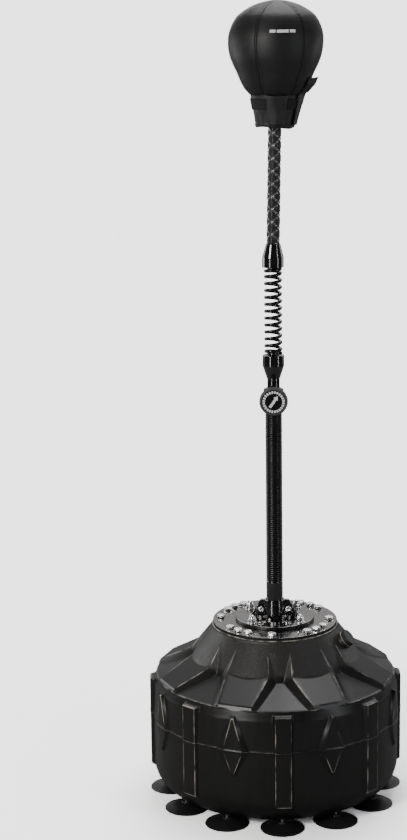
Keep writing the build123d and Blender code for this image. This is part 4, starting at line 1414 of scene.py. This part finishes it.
@dataclass
class Ball(Assembly):
    """The sewn cover in six panels, its neck skirt, strap, closure flap and stitches."""

    outline: list[Point] = field(default_factory=lambda: [
        (50.0, 1457.0), (52.9, 1459.5), (62.0, 1470.0), (71.0, 1485.5), (78.0, 1501.0), (85.6, 1516.6), (92.0, 1534.0),
        (95.1, 1556.0), (93.3, 1578.0), (83.5, 1601.5), (69.4, 1617.0), (39.5, 1633.0), (0.0, 1640.5)])
    panels: int = 6
    turn: float = 5.4
    seam_depth: float = 1.5
    seam_width: float = 2.0
    neck_foot: Point = (37.5, 1394.0)
    neck_top: Point = (50.5, 1460.0)
    columns_per_panel: int = 32
    inset: float = 6.0

    def profile(self, count: int) -> np.ndarray:
        """Points of a smooth line through the outline, evenly spaced."""
        given = np.array(self.outline)
        before = np.vstack([2 * given[0] - given[1], given, [-given[-2][0], given[-2][1]]])
        fine = []
        for a, b, c, d in zip(before, before[1:], before[2:], before[3:]):
            for t in np.linspace(0, 1, 16, endpoint=False):
                fine.append(0.5 * (2 * b + (c - a) * t + (2 * a - 5 * b + 4 * c - d) * t ** 2
                                   + (3 * b - a - 3 * c + d) * t ** 3))
        fine.append(given[-1])
        fine = np.array(fine)
        length = np.concatenate([[0], np.cumsum(np.linalg.norm(np.diff(fine, axis=0), axis=1))])
        wanted = np.linspace(0, length[-1], count)
        return np.stack([np.interp(wanted, length, fine[:, i]) for i in (0, 1)], 1)

    def panel_angles(self) -> np.ndarray:
        """Column angles, closer together near the seams."""
        t = np.linspace(0, 1, self.columns_per_panel, endpoint=False)
        pulled = t - np.sin(t * 2 * math.pi) * 0.11
        width = 2 * math.pi / self.panels
        return np.concatenate([(pulled + k - 0.5) * width for k in range(self.panels)])

    def cover(self) -> bpy.types.Object:
        """The ball's cover: crowned panels drawn in at puckered seams."""
        profile = self.profile(110)
        angles = self.panel_angles()
        width = 2 * math.pi / self.panels
        rng = np.random.default_rng(11)
        rows = []
        tones = []
        for i, (r, z) in enumerate(profile):
            off = np.mod(angles + width / 2, width)
            off = np.minimum(off, width - off) * max(r, 1e-6)
            groove = np.exp(-(off / self.seam_width) ** 2)
            pucker = np.exp(-(off / 7.0) ** 2) * np.sin(z * 0.95 + np.sin(angles * 3) * 2) * 0.28
            share = ease(r, 4, 25)
            crown = 1.4 * np.sin(np.clip(off / max(r * width / 2, 1e-6), 0, 1) * math.pi / 2) * share
            sag = 0.5 * np.sin(angles * 2 + z * 0.03) + 0.35 * np.sin(angles * 5 - z * 0.05)
            reach = r + (crown - 1.4 * share - self.seam_depth * groove + pucker) * share + sag * share
            rows.append(np.stack([reach * np.sin(angles), -reach * np.cos(angles), np.full(len(angles), z)], 1))
            panel = np.mod(np.round(angles / width), self.panels)
            # painted light: the front panel's higher tone is light on the side facing the lamps; the other panels
            # alternate in tone
            tones.append(np.where(panel == 0, 0.5, np.where(panel % 2 == 0, 0.2, 0.1)))
        del rng
        points = np.array(rows)
        inner = points[0] * np.array([0.86, 0.86, 1]) + np.array([0, 0, 2.0])
        deep = points[0] * np.array([0.80, 0.80, 1]) + np.array([0, 0, 10.0])
        centre = points[0] * np.array([0, 0, 1]) + np.array([0, 0, 10.0])
        sheet = np.concatenate([centre[None], deep[None], inner[None], points])
        tone = np.concatenate([np.zeros((3, len(angles))), np.array(tones)])
        turned_sheet = sheet.reshape(-1, 3)
        ball = mesh_object("ball_cover_sewn", lean(self.rotated(turned_sheet)), grid_faces(len(sheet), len(angles), True))
        self.store_tone(ball, lean(self.rotated(turned_sheet)), tone.ravel())
        return ball

    def rotated(self, points: np.ndarray) -> np.ndarray:
        """Points turned so that a panel faces the front."""
        a = math.radians(self.turn)
        spin = np.array([[math.cos(a), -math.sin(a), 0], [math.sin(a), math.cos(a), 0], [0, 0, 1]])
        return points @ spin.T

    @staticmethod
    def store_tone(piece: bpy.types.Object, points: np.ndarray, tone: np.ndarray) -> None:
        """Store each panel's tone on the merged mesh, by place."""
        known = {tuple(np.round(p, 2)): t for p, t in zip(points, tone)}
        values = [known.get(tuple(np.round(np.array(v.co[:]) / MM, 2)), 0.1) for v in piece.data.vertices]
        store(piece, "tone", np.array(values))

    def neck_reach(self, angle: np.ndarray, z: np.ndarray) -> np.ndarray:
        """Radius of the neck's outer face: a cone with soft folds, slack at the right of its foot."""
        share = (z - self.neck_foot[1]) / (self.neck_top[1] - self.neck_foot[1])
        cone = self.neck_foot[0] + (self.neck_top[0] - self.neck_foot[0]) * share
        loose = 1 - 0.8 * share
        folds = 0.9 * np.sin(angle * 5 + 0.8) + 0.6 * np.sin(angle * 9 - z * 0.04) + 0.35 * np.sin(angle * 14 + z * 0.11)
        curl = np.exp(-((angle - 0.95) / 0.42) ** 2) * ease(self.neck_foot[1] + 12 - z, 0, 16)
        gather = -0.8 * np.exp(-((z - (self.neck_top[1] - 3)) / 3.0) ** 2)
        return cone + folds * loose + 3.0 * curl + gather

    def hem_z(self, angle: np.ndarray) -> np.ndarray:
        """Height of the neck's lower edge."""
        drop = 4.5 * np.exp(-((angle - 0.85) / 0.45) ** 2) + 0.8 * np.sin(angle * 4 + 1)
        return self.neck_foot[1] + 0.5 - drop

    def neck(self) -> bpy.types.Object:
        """The skirt below the ball, with a turned hem."""
        steps, rows = 168, 34
        angle = np.linspace(-math.pi, math.pi, steps, endpoint=False)
        foot = self.hem_z(angle)
        outer, inner = [], []
        for i in range(rows):
            t = i / (rows - 1)
            z = self.neck_top[1] + 1 + (foot - self.neck_top[1] - 1) * t
            hem = 0.8 * ease((z - foot), 9.0, 7.2) * np.where(z - foot < 9, 1, 0)
            seam = -0.7 * np.exp(-((z - foot - 8.0) / 0.8) ** 2)
            r = self.neck_reach(angle, z) + hem + seam
            lip = ease(t, 0.955, 1.0)
            outer.append(np.stack([(r - 1.0 * lip) * np.sin(angle), -(r - 1.0 * lip) * np.cos(angle), z], 1))
            k = r - 2.2 - 0.6 * (1 - lip)
            inner.append(np.stack([k * np.sin(angle), -k * np.cos(angle), z + 0.5 * lip], 1))
        sheet = np.array(outer + inner[::-1] + [outer[0]])
        skirt = mesh_object("neck_skirt_sewn", lean(sheet.reshape(-1, 3)), grid_faces(len(sheet), steps, True))
        # painted light: the skirt's tone rises towards the front, where light falls on it
        tone = 0.35 + 0.35 * np.exp(-((np.array([math.atan2(v.co.x, -v.co.y) for v in skirt.data.vertices])) / 0.35) ** 2)
        store(skirt, "tone", tone)
        return skirt

    def band(self, name: str, first: float, last: float, z0: float, z1: float, lift: Callable, thick: float,
             steps: int, rows: int, wave: float = 0.0) -> bpy.types.Object:
        """A strip that lies on the neck and the ball.

        Args:
            name: the piece's name.
            first: azimuth where it starts, in degrees.
            last: azimuth where it ends.
            z0: its lower edge.
            z1: its upper edge.
            lift: its distance from what it lies on, from the angle and the height.
            thick: its thickness.
            steps: columns.
            rows: rows.
            wave: how uneven its end edges are.

        Returns:
            The strip.
        """
        whole = last - first >= 360
        angle = np.radians(np.linspace(first, last, steps, endpoint=not whole))
        sheets = []
        for side in (0.0, thick):
            rings = []
            for z in np.linspace(z1, z0, rows):
                edge = wave * np.sin(z * 0.9) * np.linspace(-1, 1, steps) / 40
                a = angle + edge
                r = self.surface(a, np.full(steps, z)) + lift(a, z) + side
                rings.append(np.stack([r * np.sin(a), -r * np.cos(a), np.full(steps, z)], 1))
            sheets.append(np.array(rings))
        inner, outer = sheets
        if whole:
            stack = np.concatenate([outer, inner[::-1], outer[:1]])
            return mesh_object(name, lean(stack.reshape(-1, 3)), grid_faces(len(stack), steps, True))
        loop = np.concatenate([outer, inner[:, ::-1]], 1)
        points = loop.reshape(-1, 3)
        width = 2 * steps
        faces = grid_faces(rows, width, True)
        for row in (0, rows - 1):
            start = row * width
            faces += [(start + i, start + i + 1, start + width - 2 - i, start + width - 1 - i) for i in range(steps - 1)]
        strip = mesh_object(name, lean(points), faces)
        work = bmesh.new()
        work.from_mesh(strip.data)
        bmesh.ops.recalc_face_normals(work, faces=work.faces)
        work.to_mesh(strip.data)
        work.free()
        return strip

    def surface(self, angle: np.ndarray, z: np.ndarray) -> np.ndarray:
        """Radius of the outer surface, neck or ball, at a height."""
        profile = self.profile(90)
        ball = np.interp(z, profile[:60, 1], profile[:60, 0])
        return np.where(z > self.neck_top[1], ball, np.maximum(self.neck_reach(angle, z), 0))

    def stitches(self) -> bpy.types.Object:
        """Stitches on both sides of each seam and round the hem."""
        thread = lathe("thread", [(0, -1.3), (0.28, -1.1), (0.36, -0.5), (0.36, 0.5), (0.28, 1.1), (0, 1.3)], 6)
        tree = stitch_tree()
        made = []
        profile = self.profile(110)[6:100]
        width = 2 * math.pi / self.panels
        for panel in range(self.panels):
            for side in (-1, 1):
                middle = (panel + 0.5) * width
                line = []
                for r, z in profile:
                    a = middle + side * 3.4 / max(r, 8)
                    reach = r - 0.5
                    line.append((reach * math.sin(a), -reach * math.cos(a), z))
                made.append(self.run_line(lean(self.rotated(np.array(line))), False))
        angle = np.linspace(-math.pi, math.pi, 160, endpoint=False)
        for up in (7.0, 4.8):
            z = self.hem_z(angle) + up
            r = self.neck_reach(angle, z) + 0.85
            made.append(self.run_line(lean(np.stack([r * np.sin(angle), -r * np.cos(angle), z], 1)), True))
        lines = joined("lines", made)
        stitches = tree.run("cover_stitches", lines, Instance=thread, Spacing=4.4 * MM, Material=THREAD.material())
        bpy.data.objects.remove(thread)
        return stitches

    @staticmethod
    def run_line(points: np.ndarray, loop: bool) -> bpy.types.Object:
        """A bare line of edges through points."""
        mesh = bpy.data.meshes.new("line")
        edges = [(i, i + 1) for i in range(len(points) - 1)] + ([(len(points) - 1, 0)] if loop else [])
        mesh.from_pydata((points * MM).tolist(), edges, [])
        line = bpy.data.objects.new("line", mesh)
        bpy.context.scene.collection.objects.link(line)
        return line

    def mark(self) -> bpy.types.Object:
        """A plain printed mark: a row of three slim bars on the front panel."""
        bars = []
        low, high = 1577.5, 1583.0
        profile = self.profile(90)[:80]
        for first, last in ((-13.0, -6.0), (-4.5, 9.5), (11.0, 18.0)):
            angle = np.radians(np.linspace(first, last, 10))
            rings = []
            for lift, z in ((0.9, low), (0.9, high), (0.2, high), (0.2, low), (0.9, low)):
                reach = np.interp(z, profile[:, 1], profile[:, 0]) + lift
                rings.append(np.stack([reach * np.sin(angle), -reach * np.cos(angle), np.full(10, z)], 1))
            bars.append(mesh_object("bar", lean(self.rotated(np.concatenate(rings))), grid_faces(5, 10, False), False))
        return joined("printed_bars", bars)

    def build(self) -> None:
        """Cover, neck, strap, flap and stitches."""
        cover = self.finish(self.cover(), LEATHER)
        self.place(cover, Body.HEAD, "ball_leather", ["ball_cover"])
        skirt = self.finish(self.neck(), LEATHER)
        self.place(skirt, Body.HEAD, "ball_leather", ["neck_skirt"])
        strap = self.band("neck_strap_tape", -180, 180, 1429, 1450, lambda a, z: 0.5 + 0.3 * np.sin(a * 6), 1.5, 160, 8)
        self.place(self.finish(strap, TAPE), Body.HEAD, "strap_fabric", ["neck_strap"])
        loop = self.band("front_loop", -19, 27, 1399, 1457, lambda a, z: 2.3 + 0.5 * np.sin(a * 9 + z * 0.05), 1.1, 30, 24)
        # painted light: the strip's high tone is the lit front of the neck
        store(loop, "tone", np.full(len(loop.data.vertices), 0.85))
        self.place(self.finish(loop, LEATHER), Body.HEAD, "ball_leather")
        self.place(self.finish(self.mark(), INK), Body.HEAD, "ball_leather")

        def lift(angle: np.ndarray, z: float) -> np.ndarray:
            """The flap stands off more towards its top and its free edge."""
            up = float(ease(z, 1398, 1488))
            return 2.2 + 8.5 * up * ease(np.degrees(angle), 62, 92) + 0.6 * np.sin(z * 0.35) * up
        flap = self.band("closure_flap_sewn", 62, 104, 1398, 1490, lift, 2.4, 26, 40, wave=1.0)
        self.finish(flap, LEATHER)
        store(flap, "tone", np.full(len(flap.data.vertices), 0.2))
        self.place(flap, Body.HEAD, "ball_leather", ["closure_flap"])
        self.place(self.stitches(), Body.HEAD, "ball_leather")
        share = 1 - self.inset / self.outline[7][0]
        middle = self.outline[7][1]
        skin = [(r * share, middle + (z - middle) * share) for r, z in self.profile(48) if z > 1480]
        air = lathe("air_bladder", [(0, skin[0][1]), *skin], 64)
        self.place(self.finish(leaned(air), BLADDER), Body.HEAD, "bladder_rubber", ["ball_bladder"])
        self.dress(ZINC, "ball_disc", "ball_nut")


# ---- stage ----------------------------------------------------------------------------------
@dataclass
class Studio:
    """The floor, the light and the camera."""

    place: tuple[float, float, float] = (0.0, -3.707, 1.595)
    pitch: float = 12.11
    yaw: float = 2.23
    roll: float = 0.78
    lens: float = 79.03
    white: float = 3.0

    def camera(self) -> None:
        """The camera, at the height and distance of the view."""
        yaw, pitch = math.radians(self.yaw), math.radians(self.pitch)
        forward = Vector((-math.sin(yaw) * math.cos(pitch), math.cos(yaw) * math.cos(pitch), -math.sin(pitch)))
        right = Vector((math.cos(yaw), math.sin(yaw), 0))
        up = right.cross(forward)
        roll = Matrix.Rotation(math.radians(self.roll), 3, forward)
        right, up = roll @ right, roll @ up
        data = bpy.data.cameras.new("view")
        data.lens = self.lens
        data.sensor_width = 36.0
        data.sensor_fit = "AUTO"
        data.clip_end = 60.0
        camera = bpy.data.objects.new("view", data)
        camera.matrix_world = Matrix((
            (right.x, up.x, -forward.x, self.place[0]), (right.y, up.y, -forward.y, self.place[1]),
            (right.z, up.z, -forward.z, self.place[2]), (0, 0, 0, 1)))
        bpy.context.scene.collection.objects.link(camera)
        bpy.context.scene.camera = camera

    def lamp(self, name: str, place: Sequence[float], target: Sequence[float], size: Point, power: float,
             tint: Sequence[float] = (1, 1, 1)) -> None:
        """A rectangular soft light.

        Args:
            name: the light's name.
            place: where it stands, in metres.
            target: what it points at.
            size: its width and height.
            power: in watts.
            tint: its colour.
        """
        data = bpy.data.lights.new(name, "AREA")
        data.shape = "RECTANGLE"
        data.size, data.size_y = size
        data.energy = power
        data.color = tint
        light = bpy.data.objects.new(name, data)
        light.location = place
        light.rotation_euler = (Vector(target) - Vector(place)).to_track_quat("-Z", "Y").to_euler()
        bpy.context.scene.collection.objects.link(light)

    def sky(self) -> None:
        """A white surround, dimmer for light than for the camera."""
        world = bpy.data.worlds.new("surround")
        world.use_nodes = True
        bpy.context.scene.world = world
        graph = Graph(world.node_tree)
        back = world.node_tree.nodes["Background"]
        direction = graph.add("ShaderNodeTexCoord", out="Generated")
        split = graph.add("ShaderNodeSeparateXYZ", {}, {0: direction}, out="Y")
        rear = split.ramp(-0.1, 0.75)
        seen = graph.add("ShaderNodeLightPath", out="Is Camera Ray")
        strength = seen * self.white + (1 - seen) * (rear * 0.40 + 0.035)
        back.inputs["Color"].default_value = (1, 1, 1, 1)
        world.node_tree.links.new(strength.socket, back.inputs["Strength"])

    def floor_white(self) -> bpy.types.Material:
        """The floor's material: a bright sweep to the eye that fades into the surround, and dim to the object."""
        material = bpy.data.materials.new("floor_white")
        material.use_nodes = True
        graph = Graph(material.node_tree)
        seen = graph.add("ShaderNodeLightPath", out="Is Camera Ray")
        near = graph.add("ShaderNodeBsdfDiffuse", {}, {"Color": (self.white, self.white, self.white, 1)})
        far = graph.add("ShaderNodeEmission", {}, {"Color": (1, 1, 1, 1), "Strength": self.white})
        away = graph.add("ShaderNodeVectorMath", {"operation": "LENGTH"}, {0: graph.xyz()}, out="Value")
        bright = graph.add("ShaderNodeMixShader", {}, {0: away.ramp(0.45, 1.3), 1: near, 2: far})
        dim = graph.add("ShaderNodeBsdfDiffuse", {}, {"Color": (0.22, 0.22, 0.22, 1)})
        both = graph.add("ShaderNodeMixShader", {}, {0: seen, 1: dim, 2: bright})
        material.node_tree.links.new(both.socket, material.node_tree.nodes["Material Output"].inputs["Surface"])
        return material

    def build(self) -> None:
        """Floor, lights, surround and camera."""
        size = 30.0
        floor = mesh_object("floor", np.array([(-1, -1, 0), (1, -1, 0), (1, 1, 0), (-1, 1, 0)]) * size / MM,
                            [(0, 1, 2, 3)], closed=False)
        floor.data.materials.append(self.floor_white())
        self.lamp("overhead", (0.2, 0.9, 3.4), (0, 0, 0), (1.8, 1.8), 45)
        self.lamp("left_strip", (-1.75, -2.6, 1.3), (0, 0, 0.9), (0.16, 2.8), 30)
        self.lamp("right_strip", (2.4, -1.7, 1.4), (0, 0, 0.8), (0.12, 2.8), 18, (0.93, 0.96, 1))
        self.lamp("key", (-2.4, -3.0, 2.3), (0, 0, 0.3), (0.9, 0.9), 75, (1, 0.97, 0.93))
        self.lamp("rim_left", (-2.6, 1.3, 1.0), (0, 0, 0.2), (1.3, 1.2), 20)
        self.lamp("rim_right", (2.6, 1.3, 1.0), (0, 0, 0.2), (0.8, 1.2), 9)
        self.lamp("rear_high", (0, 3.2, 2.5), (0, 0, 0.4), (2.6, 1.0), 24)
        self.sky()
        self.camera()


def main() -> None:
    """Build every assembly."""
    logging.basicConfig(level=logging.INFO, format="%(message)s")
    assemblies = (Studio(), Tank(), Filler(), SuctionCups(), Plates(), Socket(), Pole(), ClampKnob(), Spring(), Grip(),
                  Ball())
    for assembly in assemblies:
        log.info("-- %s", type(assembly).__name__)
        assembly.build()


if __name__ == "__main__":
    main()
